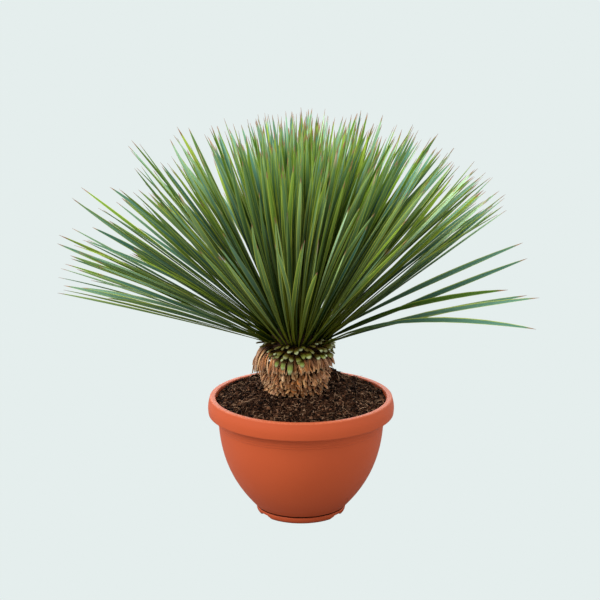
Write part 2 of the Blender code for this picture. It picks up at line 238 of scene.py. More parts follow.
class Board:
    """A node tree, and the few ways in which it is wired."""

    def __init__(self, tree: bpy.types.NodeTree) -> None:
        """Keeps the tree."""
        self.tree = tree

    @staticmethod
    def _socket(sockets: Sequence[bpy.types.NodeSocket], key: str | int) -> bpy.types.NodeSocket:
        """A socket by its place, or by its name among those in use."""
        if isinstance(key, int):
            return sockets[key]
        return next(socket for socket in sockets if socket.enabled and socket.name == key)

    def add(
        self,
        kind: str,
        settings: dict[str, object] | None = None,
        values: dict[str | int, Source] | None = None,
    ) -> Wire:
        """Adds a node.

        Args:
            kind: The node's type.
            settings: Its properties. "stops" fills a ramp and "profile" a curve.
            values: A number, or a wire to link, for each socket by name or place.

        Returns:
            The first output that is in use.
        """
        node = self.tree.nodes.new(kind)
        for name, setting in (settings or {}).items():
            if name == "stops":
                self._fill_ramp(node.color_ramp, setting)
            elif name == "profile":
                self._fill_curve(node.mapping, setting)
            else:
                setattr(node, name, setting)
        for key, value in (values or {}).items():
            socket = self._socket(node.inputs, key)
            if isinstance(value, Wire):
                self.tree.links.new(value.socket, socket)
            else:
                socket.default_value = value
        return Wire(self, next((out for out in node.outputs if out.enabled), None))

    @staticmethod
    def _fill_ramp(ramp: bpy.types.ColorRamp, stops: dict[float, Colour]) -> None:
        """Puts the stops of a colour ramp, by their place from 0 to 1.

        Args:
            ramp: The ramp.
            stops: The colour at each place from 0 to 1.
        """
        while len(ramp.elements) > 1:
            ramp.elements.remove(ramp.elements[-1])
        for number, (place, colour) in enumerate(stops.items()):
            stop = ramp.elements[0] if number == 0 else ramp.elements.new(place)
            stop.position = place
            stop.color = (*colour, 1.0)

    @staticmethod
    def _fill_curve(mapping: bpy.types.CurveMapping, points: dict[float, float]) -> None:
        """Puts the points of a curve, the first and the last of which are its ends.

        Args:
            mapping: The curve's mapping.
            points: The value at each place.
        """
        curve = mapping.curves[0]
        places = list(points.items())
        for point, place in zip((curve.points[0], curve.points[-1]), (places[0], places[-1])):
            point.location = place
        for place in places[1:-1]:
            curve.points.new(*place)
        mapping.update()

    def vector(self, operation: str, first: Source, second: Source) -> Wire:
        """One Vector Math node with two vectors."""
        return self.add("ShaderNodeVectorMath", {"operation": operation}, {0: first, 1: second})

    def scaled(self, vector: Source, factor: Source) -> Wire:
        """A vector times a number."""
        settings = {"operation": "SCALE"}
        return self.add("ShaderNodeVectorMath", settings, {0: vector, "Scale": factor})

    def unit(self, vector: Source) -> Wire:
        """A vector brought to length 1."""
        return self.add("ShaderNodeVectorMath", {"operation": "NORMALIZE"}, {0: vector})

    def total(self, *vectors: Source) -> Wire:
        """The sum of some vectors."""
        result = vectors[0]
        for vector in vectors[1:]:
            result = self.vector("ADD", result, vector)
        return result

    def joined(self, x: Source, y: Source, z: Source) -> Wire:
        """A vector of three numbers."""
        return self.add("ShaderNodeCombineXYZ", {}, {"X": x, "Y": y, "Z": z})

    def attributes(self, *names: str) -> list[Wire]:
        """Numbers that the mesh carries, for a shader."""
        kind = "ShaderNodeAttribute"
        return [self.add(kind, {"attribute_name": name}).named("Fac") for name in names]

    def ramp(self, factor: Source, stops: Sequence[tuple[float, Colour]]) -> Wire:
        """The colour that lies at a factor among some stops."""
        return self.add("ShaderNodeValToRGB", {"stops": dict(stops)}, {"Fac": factor})

    def parts(self, vector: Source) -> tuple[Wire, Wire, Wire]:
        """The three numbers of a vector."""
        first = self.add("ShaderNodeSeparateXYZ", {}, {0: vector})
        return first, first.named("Y"), first.named("Z")

    def mixed(self, factor: Source, first: Source, second: Source) -> Wire:
        """Two colours mixed, the second of which shows as much as the factor says.

        Args:
            factor: How much of the second colour shows.
            first: A colour.
            second: The other.

        Returns:
            The mixed colour.
        """
        colours = [c if isinstance(c, Wire) else (*c, 1.0) for c in (first, second)]
        values = {"Factor": factor, "A": colours[0], "B": colours[1]}
        return self.add("ShaderNodeMix", {"data_type": "RGBA", "blend_type": "MIX"}, values)

    def noise(self, place: Source, scale: float, detail: float = 2.0, roughness: float = 0.5) -> Wire:
        """Noise from 0 to 1, a scale of whose cells go to one unit of the place."""
        values = {"Vector": place, "Scale": scale, "Detail": detail, "Roughness": roughness}
        return self.add("ShaderNodeTexNoise", {}, values)


class Paint:
    """A new material with one Principled shader, and the board that feeds it."""

    def __init__(self, name: str, **fixed: float) -> None:
        """Makes the material and sets the shader's fixed values, by socket name.

        Args:
            name: The material's name.
            fixed: The value of each socket.
        """
        self.material = bpy.data.materials.new(name)
        self.material.use_nodes = True
        self.board = Board(self.material.node_tree)
        self.shader = self.material.node_tree.nodes["Principled BSDF"]
        for socket, value in fixed.items():
            self.shader.inputs[socket.replace("_", " ")].default_value = value

    def place(self) -> Wire:
        """The point on the piece, in metres."""
        return self.board.add("ShaderNodeTexCoord").named("Object")

    def feed(self, socket: str, wire: Wire) -> None:
        """Links a wire to one of the shader's sockets."""
        self.board.tree.links.new(wire.socket, self.shader.inputs[socket])

    def bumps(self, height: Wire, distance: float) -> None:
        """Raises the surface by a height from 0 to 1, a distance in metres at most."""
        values = {"Height": height, "Distance": distance, "Strength": 1.0}
        self.feed("Normal", self.board.add("ShaderNodeBump", {}, values))


# ---------------------------------------------------------------- finishes


@dataclass(frozen=True)
class TerracottaPlastic:
    """Satin moulded plastic with a fine grain, paler on the rim's top where it is scuffed and where a
    painted highlight lies, and darker at the foot with painted shade.
    """

    body: Colour = (0.515, 0.088, 0.026)
    deep: Colour = (0.470, 0.076, 0.022)
    # The scuffed rim colour is wear and a painted highlight on the rim's top.
    scuffed_and_highlight: Colour = (0.620, 0.165, 0.075)
    # The foot colour is painted shade, darkening the bowl towards the floor.
    foot: Colour = (0.340, 0.058, 0.018)
    foot_shade_top: float = 0.022
    roughness: float = 0.50
    scuff_and_highlight_from: float = 0.2560
    scuff_and_highlight_full: float = 0.2598
    clouds: float = 7.0
    specks: float = 260.0
    grain: float = 1400.0
    grain_depth: float = 0.00010

    def material(self) -> bpy.types.Material:
        """The finish as a material."""
        paint = Paint("terracotta_plastic", Specular_IOR_Level=0.20)
        board = paint.board
        place = paint.place()
        height = board.parts(place)[2]
        broad = board.noise(place, self.clouds)
        fine = board.noise(place, self.specks)
        colour = board.mixed(broad.rising(0.3, 0.8) * 0.5, self.body, self.deep)
        # Painted shade: the bowl darkens towards the floor.
        colour = board.mixed(height.rising(self.foot_shade_top, 0.0) * 0.7, colour, self.foot)
        # The rim's top is paler where it is scuffed and where a painted highlight lies.
        scuff_and_highlight_mask = height.rising(self.scuff_and_highlight_from, self.scuff_and_highlight_full) * (0.35 + 0.65 * fine.rising(0.4, 0.65))
        paint.feed("Base Color", board.mixed(scuff_and_highlight_mask * 0.8, colour, self.scuffed_and_highlight))
        paint.feed("Roughness", self.roughness + 0.10 * (broad - 0.5) + 0.10 * (fine - 0.5))
        grain = board.noise(place, self.grain, 1.0)
        paint.bumps(0.7 * grain + 0.3 * fine, self.grain_depth)
        return paint.material


@dataclass(frozen=True)
class PottingSoil:
    """Dark peat with lighter bark and root threads in it."""

    dark: Colour = (0.0022, 0.0008, 0.0004)
    body: Colour = (0.040, 0.0165, 0.0080)
    light: Colour = (0.200, 0.092, 0.050)
    clods: float = 120.0
    specks: float = 480.0
    depth: float = 0.004

    def material(self) -> bpy.types.Material:
        """The finish as a material."""
        paint = Paint("potting_soil", Roughness=0.95, Specular_IOR_Level=0.05)
        board = paint.board
        place = paint.place()
        clods = board.noise(place, self.clods, 4.0, 0.65)
        specks = board.noise(place, self.specks, 2.0, 0.6)
        colour = board.mixed(clods.rising(0.40, 0.60), self.dark, self.body)
        colour = board.mixed(specks.rising(0.54, 0.72) * 0.85, colour, self.light)
        paint.feed("Base Color", colour)
        paint.bumps(0.6 * clods + 0.4 * specks, self.depth)
        return paint.material


@dataclass(frozen=True)
class SoilBits:
    """Crumbs and threads on the soil, each with a tone of its own."""

    name: str
    stops: tuple[tuple[float, Colour], ...]
    grain: float = 900.0
    depth: float = 0.0006

    def material(self) -> bpy.types.Material:
        """The finish as a material."""
        paint = Paint(self.name, Roughness=0.9, Specular_IOR_Level=0.08)
        board = paint.board
        (tone,) = board.attributes("tone")
        colour = board.ramp(tone, self.stops)
        grain = board.noise(paint.place(), self.grain)
        paint.feed("Base Color", board.mixed(grain.rising(0.7, 0.3) * 0.6, colour, BLACK))
        paint.bumps(grain, self.depth)
        return paint.material


CRUMBS = SoilBits(
    "soil_crumb",
    (
        (0.0, (0.0016, 0.0006, 0.0002)),
        (0.42, (0.009, 0.0034, 0.0014)),
        (0.66, (0.060, 0.024, 0.012)),
        (0.93, (0.240, 0.108, 0.054)),
        (1.0, (0.420, 0.260, 0.165)),
    ),
)
THREADS = SoilBits(
    "root_thread",
    ((0.0, (0.010, 0.0034, 0.0014)), (0.5, (0.100, 0.043, 0.020)), (1.0, (0.560, 0.340, 0.200))),
)


@dataclass(frozen=True)
class TrunkBark:
    """Dark fibrous bark, seen only in the gaps between the leaf bases."""

    dark: Colour = (0.008, 0.004, 0.002)
    body: Colour = (0.070, 0.030, 0.012)
    fibres: float = 420.0
    stretched: float = 0.25
    depth: float = 0.002

    def material(self) -> bpy.types.Material:
        """The finish as a material."""
        paint = Paint("trunk_bark", Roughness=0.9, Specular_IOR_Level=0.15)
        board = paint.board
        lengthwise = board.vector("MULTIPLY", paint.place(), (1.0, 1.0, self.stretched))
        fibres = board.noise(lengthwise, self.fibres, 4.0, 0.65)
        paint.feed("Base Color", board.mixed(fibres.rising(0.4, 0.75), self.dark, self.body))
        paint.bumps(fibres, self.depth)
        return paint.material


@dataclass(frozen=True)
class DryBase:
    """A dry leaf base: streaky fibres, dark at its root with painted shade where the bases crowd at the
    trunk, frayed and paler at its end.

    The age of a base is how far its orange has faded to a pinkish grey.
    """

    stops: tuple[tuple[float, Colour], ...] = (
        (0.0, (0.085, 0.030, 0.009)),
        (0.2, (0.300, 0.115, 0.032)),
        (0.45, (0.700, 0.255, 0.064)),
        (0.7, (0.840, 0.465, 0.175)),
        (1.0, (1.000, 0.760, 0.430)),
    )
    faded: Colour = (0.460, 0.275, 0.190)
    # The root colour is painted shade between the crowded bases.
    root: Colour = (0.012, 0.005, 0.002)
    streak: Colour = (0.060, 0.020, 0.006)
    end: Colour = (0.850, 0.600, 0.340)
    depth: float = 0.0014

    def material(self) -> bpy.types.Material:
        """The finish as a material."""
        paint = Paint("dry_leaf_base", Roughness=0.8, Specular_IOR_Level=0.1)
        board = paint.board
        tone, along, across, age = board.attributes("tone", "along", "across", "age")
        faded = board.scaled(self.faded, 0.35 + 1.90 * tone)
        colour = board.mixed(age, board.ramp(tone, self.stops), faded)
        lengthwise = board.joined(across * 2.4 + tone * 61.0, along * 1.1, tone * 23.0)
        streaks = board.noise(lengthwise, 2.2, 4.0, 0.7)
        colour = board.mixed(streaks.rising(0.56, 0.36) * 0.92, colour, self.streak)
        colour = board.mixed(along.rising(0.88, 1.0) * 0.45, colour, self.end)
        # Painted shade: each base darkens towards its root.
        colour = board.mixed(along.rising(0.58, 0.24) * 0.96, colour, self.root)
        paint.feed("Base Color", colour)
        paint.bumps(streaks, self.depth)
        return paint.material


@dataclass(frozen=True)
class GreenBase:
    """A base cut from a living leaf: olive to fresh green, with fibre streaks, painted shade that darkens
    it towards its root, and a cut end that its age makes paler.
    """

    stops: tuple[tuple[float, Colour], ...] = (
        (0.0, (0.060, 0.048, 0.006)),
        (0.4, (0.125, 0.115, 0.014)),
        (0.75, (0.190, 0.220, 0.022)),
        (1.0, (0.190, 0.320, 0.055)),
    )
    # The root colour darkens the fibre streaks, and is painted shade towards each stub's root.
    root: Colour = (0.045, 0.018, 0.001)
    cut: Colour = (0.520, 0.600, 0.330)
    depth: float = 0.0008

    def material(self) -> bpy.types.Material:
        """The finish as a material."""
        paint = Paint("green_leaf_base", Roughness=0.5, Specular_IOR_Level=0.25)
        board = paint.board
        tone, along, across, age = board.attributes("tone", "along", "across", "age")
        lengthwise = board.joined(across * 2.5 + tone * 57.0, along * 0.8, tone * 19.0)
        streaks = board.noise(lengthwise, 2.2, 3.0, 0.6)
        fibrous = streaks.rising(0.55, 0.3) * 0.5
        colour = board.mixed(fibrous, board.ramp(tone, self.stops), self.root)
        # Painted shade: each stub darkens towards its root.
        colour = board.mixed(along.rising(0.74, 0.42) * 0.95, colour, self.root)
        paint.feed("Base Color", board.mixed(along.rising(0.72, 0.90) * age, colour, self.cut))
        paint.bumps(streaks, self.depth)
        return paint.material


@dataclass(frozen=True)
class YuccaLeaf:
    """A waxy leaf with thin yellow margins and a brown tip. Painted shade makes it dark olive at its foot,
    its olive underside carries painted shade in part, and painted light makes it paler and bluer upward.
    """

    stops: tuple[tuple[float, Colour], ...] = (
        (0.0, (0.037, 0.092, 0.057)),
        (0.25, (0.074, 0.148, 0.088)),
        (0.48, (0.160, 0.242, 0.130)),
        (0.52, (0.042, 0.094, 0.010)),
        (0.75, (0.074, 0.128, 0.012)),
        (1.0, (0.135, 0.185, 0.022)),
    )
    # The foot colours are painted shade at each leaf's foot, deep green for the darker leaves.
    foot: Colour = (0.082, 0.092, 0.003)
    deep_foot_shade: Colour = (0.026, 0.058, 0.001)
    # The underside colour is the leaf's own olive with painted shade in part.
    shaded_underside: Colour = (0.073, 0.114, 0.017)
    margin: Colour = (0.520, 0.570, 0.070)
    needle: Colour = (0.330, 0.170, 0.090)
    straw: Colour = (0.560, 0.420, 0.270)
    # Painted light: leaves are paler and bluer towards their tips and higher in the crown.
    painted_light_upward: float = 2.12
    paler_low_down: float = 0.55
    painted_light_heights: Range = (0.58, 0.85)
    painted_light_along: Range = (0.46, 0.93)
    painted_light_bluer: float = 0.20
    less_red_in_shade: float = 0.12
    shades: float = 9.7
    foot_shade_end: Range = (0.56, 0.06)
    margin_start: Range = (0.66, 0.90)
    needle_start: Range = (0.962, 0.992)
    needle_play: float = 0.022
    depth: float = 0.0004

    def material(self) -> bpy.types.Material:
        """The finish as a material."""
        paint = Paint("yucca_leaf", Specular_IOR_Level=0.08)
        board = paint.board
        names = ("tone", "along", "across", "face", "age")
        tone, along, across, face, age = board.attributes(*names)
        # The lower face takes the underside colour: partly its own olive, partly painted shade.
        below = face.rising(0.02, -0.02) * 0.70
        colour = board.mixed(below, board.ramp(tone, self.stops), self.shaded_underside)
        lengthwise = board.joined(across * 2.6 + tone * 83.0, along * 3.0, tone * 37.0)
        veins = board.noise(lengthwise, 2.0, 3.0, 0.6)
        # Painted light: paler and bluer towards the tip and higher up, less so low down.
        height = board.parts(paint.place())[2]
        aloft = self.paler_low_down + (1.0 - self.paler_low_down) * height.rising(*self.painted_light_heights)
        upward = along.rising(*self.painted_light_along) * aloft
        colour = board.scaled(colour, 0.70 + 0.50 * veins + self.painted_light_upward * upward)
        bluer = board.joined(1.0, 1.0, 1.0 + self.painted_light_bluer * upward)
        colour = board.vector("MULTIPLY", colour, bluer)
        edge = abs(across).rising(*self.margin_start)
        colour = board.mixed(edge * along.rising(0.15, 0.75) * 0.70, colour, self.margin)
        shade = (tone * self.shades).fraction()
        # Painted shade: each leaf darkens to olive or deep green towards its foot.
        foot = board.mixed(shade.rising(0.45, 0.15), self.foot, self.deep_foot_shade)
        colour = board.mixed(along.rising(*self.foot_shade_end) * 0.92, colour, foot)
        own_shade = (shade - 0.5) * (0.76 + 0.44 * along.rising(0.75, 0.15))
        colour = board.scaled(colour, 1.0 + own_shade)
        red = 1.0 - self.less_red_in_shade * shade.rising(0.65, 0.10)
        colour = board.vector("MULTIPLY", colour, board.joined(red, 1.0, 1.0))
        patches = board.joined(tone * 71.0, along * 16.0, across * 0.8)
        spotted = board.noise(patches, 1.6).rising(0.68, 0.74) * age.rising(0.1, 0.5)
        colour = board.mixed(spotted * 0.9, colour, self.needle)
        dying = (along + age * 0.23).rising(1.10, 1.18)
        colour = board.mixed(dying, colour, self.straw)
        needle = (along + self.needle_play * tone).rising(*self.needle_start)
        paint.feed("Base Color", board.mixed(needle, colour, self.needle))
        paint.feed("Roughness", 0.42 + 0.20 * veins + 0.15 * dying)
        ribs = board.joined(across * 9.0, tone * 17.0, along * 0.6)
        paint.bumps(board.noise(ribs, 1.5, 1.0), self.depth)
        return paint.material


# ---------------------------------------------------------------- growing repeated pieces


@dataclass
class Strip:
    """A strip that bends and tapers from its root to its tip, such as a leaf.

    Its centre line leaves the root towards bend, and comes to the tip from there.
    """

    root: Vector
    bend: Vector
    tip: Vector
    side: Vector
    width: float
    twist: float = 0.0
    tone: float = 0.5
    age: float = 0.0


@dataclass(frozen=True)
class StripShape:
    """What all the strips of one kind share.

    The profile gives the share of the width at places from the root, 0, to the tip, 1. Crowding
    above 1 draws the cross-sections together towards the tip.
    """

    name: str
    sides: int
    segments: int
    thickness: float
    keel: float
    bow: float
    profile: tuple[tuple[float, float], ...]
    crowding: float = 1.0


class GrownTree:
    """A geometry tree with named inputs, run on a mesh of seed points."""

    SOCKETS = {float: "NodeSocketFloat", int: "NodeSocketInt", bpy.types.Material: "NodeSocketMaterial"}

    def __init__(self, name: str, inputs: dict[str, type]) -> None:
        """Makes the empty tree.

        Args:
            name: The tree's name.
            inputs: The type of each input after the geometry, by name.
        """
        tree = bpy.data.node_groups.new(name, "GeometryNodeTree")
        faces = tree.interface
        faces.new_socket("Geometry", in_out="INPUT", socket_type="NodeSocketGeometry")
        for label, kind in inputs.items():
            faces.new_socket(label, in_out="INPUT", socket_type=self.SOCKETS[kind])
        faces.new_socket("Geometry", in_out="OUTPUT", socket_type="NodeSocketGeometry")
        self.tree = tree
        self.board = Board(tree)
        self.inlet = self.board.add("NodeGroupInput")

    def store(self, geometry: Wire, name: str, value: Source) -> Wire:
        """Keeps a number on every point of a geometry, under a name.

        Args:
            geometry: The geometry.
            name: The name.
            value: The number.

        Returns:
            The geometry with the number on it.
        """
        settings = {"data_type": "FLOAT", "domain": "POINT"}
        values = {"Geometry": geometry, "Name": name, "Value": value}
        return self.board.add("GeometryNodeStoreNamedAttribute", settings, values)

    def recall(self, name: str, kind: str = "FLOAT") -> Wire:
        """What is kept under a name."""
        settings = {"data_type": kind}
        return self.board.add("GeometryNodeInputNamedAttribute", settings, {"Name": name})

    def random(self, low: Source, high: Source, seed: Source, kind: str = "FLOAT") -> Wire:
        """A number or a vector for each point, drawn between two others."""
        values = {"Min": low, "Max": high, "Seed": seed}
        return self.board.add("FunctionNodeRandomValue", {"data_type": kind}, values)

    def close(self, geometry: Wire, finish: Wire) -> None:
        """Ends the tree: instances made real, then their material.

        Args:
            geometry: What has grown.
            finish: Its material.
        """
        real = self.board.add("GeometryNodeRealizeInstances", {}, {"Geometry": geometry})
        values = {"Geometry": real, "Material": finish}
        done = self.board.add("GeometryNodeSetMaterial", {}, values)
        self.board.add("NodeGroupOutput", {}, {0: done})

    def run(self, name: str, seeds: bpy.types.Mesh, inputs: dict[str, object]) -> bpy.types.Mesh:
        """Runs the tree once.

        Args:
            name: The name of the mesh that it gives.
            seeds: The mesh whose points it starts from, which is used up.
            inputs: A value for each named input.

        Returns:
            The plain mesh.
        """
        holder = linked(name + "_seeds", seeds)
        modifier = holder.modifiers.new("grow", "NODES")
        modifier.node_group = self.tree
        for item in self.tree.interface.items_tree:
            if item.in_out == "INPUT" and item.name in inputs:
                modifier[item.identifier] = inputs[item.name]
        graph = bpy.context.evaluated_depsgraph_get()
        grown = holder.evaluated_get(graph)
        mesh = bpy.data.meshes.new_from_object(grown, preserve_all_data_layers=True, depsgraph=graph)
        mesh.name = name
        holder.modifiers.remove(modifier)
        bpy.data.objects.remove(holder)
        bpy.data.meshes.remove(seeds)
        return mesh


class StripTree(GrownTree):
    """Grows a closed, bent and tapering strip from every seed point."""

    SIZES = {"Sides": int, "Segments": int, "Thickness": float, "Keel": float, "Bow": float}
    VECTORS = ("root", "bend", "tip", "side")
    NUMBERS = ("width", "twist", "tone", "age")
    THIN_END = 0.3
    CREASE = 0.95

    def __init__(self, shape: StripShape) -> None:
        """Builds the tree for one kind of strip."""
        super().__init__(shape.name, {**self.SIZES, "Seed": int, "Finish": bpy.types.Material})
        self.shape = shape
        solid = self._copies(self._straight_stock())
        placed = {"Geometry": solid, "Position": self._place()}
        bent = self.board.add("GeometryNodeSetPosition", {}, placed)
        self.close(self._shaded(bent), self.inlet.named("Finish"))

    def _straight_stock(self) -> Wire:
        """A straight tube from -0.5 to 0.5 along Z, which knows its own coordinates."""
        sizes = {"Vertices": self.inlet.named("Sides"), "Side Segments": self.inlet.named("Segments")}
        sizes |= {"Radius": 1.0, "Depth": 1.0}
        tube = self.board.add("GeometryNodeMeshCylinder", {"fill_type": "NGON"}, sizes)
        x, y, z = self.board.parts(self.board.add("GeometryNodeInputPosition"))
        tube = self.store(tube, "along", 1.0 - (0.5 - z) ** self.shape.crowding)
        tube = self.store(tube, "across", x)
        return self.store(tube, "face", y)

    def _copies(self, stock: Wire) -> Wire:
        """One copy of the stock on every seed point, each with a sideways bow of its own."""
        bow = self.random(-1.0, 1.0, self.inlet.named("Seed")) * self.inlet.named("Bow")
        seeds = self.store(self.inlet, "bow", bow)
        copies = {"Points": seeds, "Instance": stock}
        instances = self.board.add("GeometryNodeInstanceOnPoints", {}, copies)
        return self.board.add("GeometryNodeRealizeInstances", {}, {"Geometry": instances})

    def _place(self) -> Wire:
        """Where each point of a copy goes on its bent strip."""
        board = self.board
        root, bend, tip, side = (self.recall(name, "FLOAT_VECTOR") for name in self.VECTORS)
        names = ("width", "twist", "along", "across", "face", "bow")
        width, twist, along, across, face, bow = (self.recall(name) for name in names)
        left = 1.0 - along
        line = board.total(
            board.scaled(root, left * left),
            board.scaled(bend, 2.0 * left * along),
            board.scaled(tip, along * along),
        )
        leaving = board.scaled(board.vector("SUBTRACT", bend, root), left)
        arriving = board.scaled(board.vector("SUBTRACT", tip, bend), along)
        forward = board.unit(board.vector("ADD", leaving, arriving))
        up = board.unit(board.vector("CROSS_PRODUCT", forward, side))
        level = board.vector("CROSS_PRODUCT", up, forward)
        turn = twist * along
        cosine = board.add("ShaderNodeMath", {"operation": "COSINE"}, {0: turn})
        sine = board.add("ShaderNodeMath", {"operation": "SINE"}, {0: turn})
        sideways = board.total(board.scaled(level, cosine), board.scaled(up, sine))
        upward = board.vector("SUBTRACT", board.scaled(up, cosine), board.scaled(level, sine))
        profile = {"profile": dict(self.shape.profile)}
        share = board.add("ShaderNodeFloatCurve", profile, {"Value": along})
        half = 0.5 * width * share
        thinner = self.THIN_END + (1.0 - self.THIN_END) * share
        lift = 0.5 * self.inlet.named("Thickness") * face * thinner
        lift = lift + self.inlet.named("Keel") * abs(across) * half
        return board.total(
            line,
            board.scaled(sideways, across * half),
            board.scaled(upward, lift),
            board.scaled(level, 4.0 * bow * along * left),
        )

    def _shaded(self, solid: Wire) -> Wire:
        """Smooth faces, with crisp edges along the margins, the groove and the keel."""
        smooth = {"Geometry": solid, "Shade Smooth": True}
        solid = self.board.add("GeometryNodeSetShadeSmooth", {"domain": "FACE"}, smooth)
        across, face = abs(self.recall("across")), abs(self.recall("face"))
        farther = self.board.add("ShaderNodeMath", {"operation": "MAXIMUM"}, {0: across, 1: face})
        settings = {"data_type": "FLOAT", "operation": "GREATER_THAN"}
        lengthwise = self.board.add("FunctionNodeCompare", settings, {"A": farther, "B": self.CREASE})
        crisp = {"Geometry": solid, "Selection": lengthwise, "Shade Smooth": False}
        return self.board.add("GeometryNodeSetShadeSmooth", {"domain": "EDGE"}, crisp)

    def grow(
        self, name: str, strips: Sequence[Strip], seed: int, finish: bpy.types.Material
    ) -> bpy.types.Mesh:
        """Grows some strips as one plain mesh.

        Args:
            name: The mesh's name.
            strips: The strips.
            seed: The seed of their sideways bows.
            finish: Their material.

        Returns:
            The mesh.
        """
        seeds = bpy.data.meshes.new(name + "_seeds")
        seeds.from_pydata([strip.root for strip in strips], [], [])
        kinds = [(label, "FLOAT_VECTOR", "vector") for label in self.VECTORS]
        kinds += [(label, "FLOAT", "value") for label in self.NUMBERS]
        for label, kind, key in kinds:
            values = np.array([getattr(strip, label) for strip in strips], dtype=np.float32)
            seeds.attributes.new(label, kind, "POINT").data.foreach_set(key, values.ravel())
        inputs = {label: getattr(self.shape, label.lower()) for label in self.SIZES}
        mesh = self.run(name, seeds, inputs | {"Seed": seed, "Finish": finish})
        for label in (*self.VECTORS, "width", "twist", "bow"):
            mesh.attributes.remove(mesh.attributes[label])
        return mesh


class CrumbTree(GrownTree):
    """Puts a rough crumb on every seed point, turned, scaled and toned at random."""

    def __init__(self) -> None:
        """Builds the tree."""
        sizes = {"Size": float, "Least": float, "Most": float}
        super().__init__("crumbs", {**sizes, "Seed": int, "Finish": bpy.types.Material})
        seed = self.inlet.named("Seed")
        values = {"Radius": self.inlet.named("Size"), "Subdivisions": 1}
        grain = self.board.add("GeometryNodeMeshIcoSphere", {}, values)
        least, most = (self.board.joined(*[self.inlet.named(name)] * 3) for name in ("Least", "Most"))
        turned = self.random((0.0, 0.0, 0.0), (math.tau,) * 3, seed + 1.0, "FLOAT_VECTOR")
        scale = self.random(least, most, seed + 2.0, "FLOAT_VECTOR")
        seeds = self.store(self.inlet, "tone", self.random(0.0, 1.0, seed + 3.0))
        values = {"Points": seeds, "Instance": grain, "Rotation": turned, "Scale": scale}
        crumbs = self.board.add("GeometryNodeInstanceOnPoints", {}, values)
        self.close(crumbs, self.inlet.named("Finish"))

# ---------------------------------------------------------------- putting pieces in place


def nodes_named(start: str) -> list[str]:
    """The names of the solids that start so, in order."""
    return sorted(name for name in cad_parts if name.startswith(start))


def linked(name: str, data: bpy.types.ID) -> bpy.types.Object:
    """A new object in the scene that holds a mesh, a light or a camera."""
    item = bpy.data.objects.new(name, data)
    bpy.context.scene.collection.objects.link(item)
    return item


def put(name: str, mesh: bpy.types.Mesh, slot: Slot, nodes: Sequence[str] = ()) -> None:
    """Makes a finished mesh a piece of the plant.

    Args:
        name: The piece's name.
        mesh: Its mesh, in place.
        slot: The record's slot for its finish. It is not used.
        nodes: The solids that it stands for.
    """
    piece = linked(name, mesh)
    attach(piece, BODY)
    if nodes:
        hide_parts(*nodes)
    LOG.info("%s: %d faces", name, len(mesh.polygons))


def poured(builder: bmesh.types.BMesh, name: str) -> bpy.types.Mesh:
    """A builder's faces as a mesh. The builder is freed."""
    mesh = bpy.data.meshes.new(name)
    builder.to_mesh(mesh)
    builder.free()
    return mesh


def mesh_of(
    builder: bmesh.types.BMesh, name: str, material: bpy.types.Material, sharp: float
) -> bpy.types.Mesh:
    """Turns a builder into a smooth mesh.

    Args:
        builder: The builder, which is used up.
        name: The mesh's name.
        material: Its material.
        sharp: The least turn, in degrees, that stays a crisp edge.

    Returns:
        The mesh.
    """
    bmesh.ops.recalc_face_normals(builder, faces=builder.faces)
    mesh = poured(builder, name)
    mesh.shade_smooth()
    mesh.set_sharp_from_angle(angle=math.radians(sharp))
    mesh.materials.append(material)
    return mesh


def skin_rings(builder: bmesh.types.BMesh, rings: Sequence[Sequence[bmesh.types.BMVert]]) -> None:
    """Joins rings of points with faces. A ring of one point closes an end.

    Args:
        builder: The builder.
        rings: The rings, from one end to the other.
    """
    for lower, upper in zip(rings, rings[1:]):
        sides = max(len(lower), len(upper))
        for side in range(sides):
            after = (side + 1) % sides
            corners = (lower[side % len(lower)], lower[after % len(lower)])
            corners += (upper[after % len(upper)], upper[side % len(upper)])
            builder.faces.new(tuple(dict.fromkeys(corners)))


def turned(outline: Sequence[Sequence[float]], sides: int, centre: Vector) -> bmesh.types.BMesh:
    """A turned solid.

    Args:
        outline: Its (radius, height) points, from the axis back to the axis.
        sides: The number of points round it.
        centre: Where its axis meets the ground.

    Returns:
        Its builder.
    """
    builder = bmesh.new()
    rings = []
    for radius, height in outline:
        count = sides if radius > 0.0 else 1
        spots = (centre + polar(radius, 360.0 * side / sides, height) for side in range(count))
        rings.append([builder.verts.new(spot) for spot in spots])
    skin_rings(builder, rings)
    return builder


# ---------------------------------------------------------------- the bowl


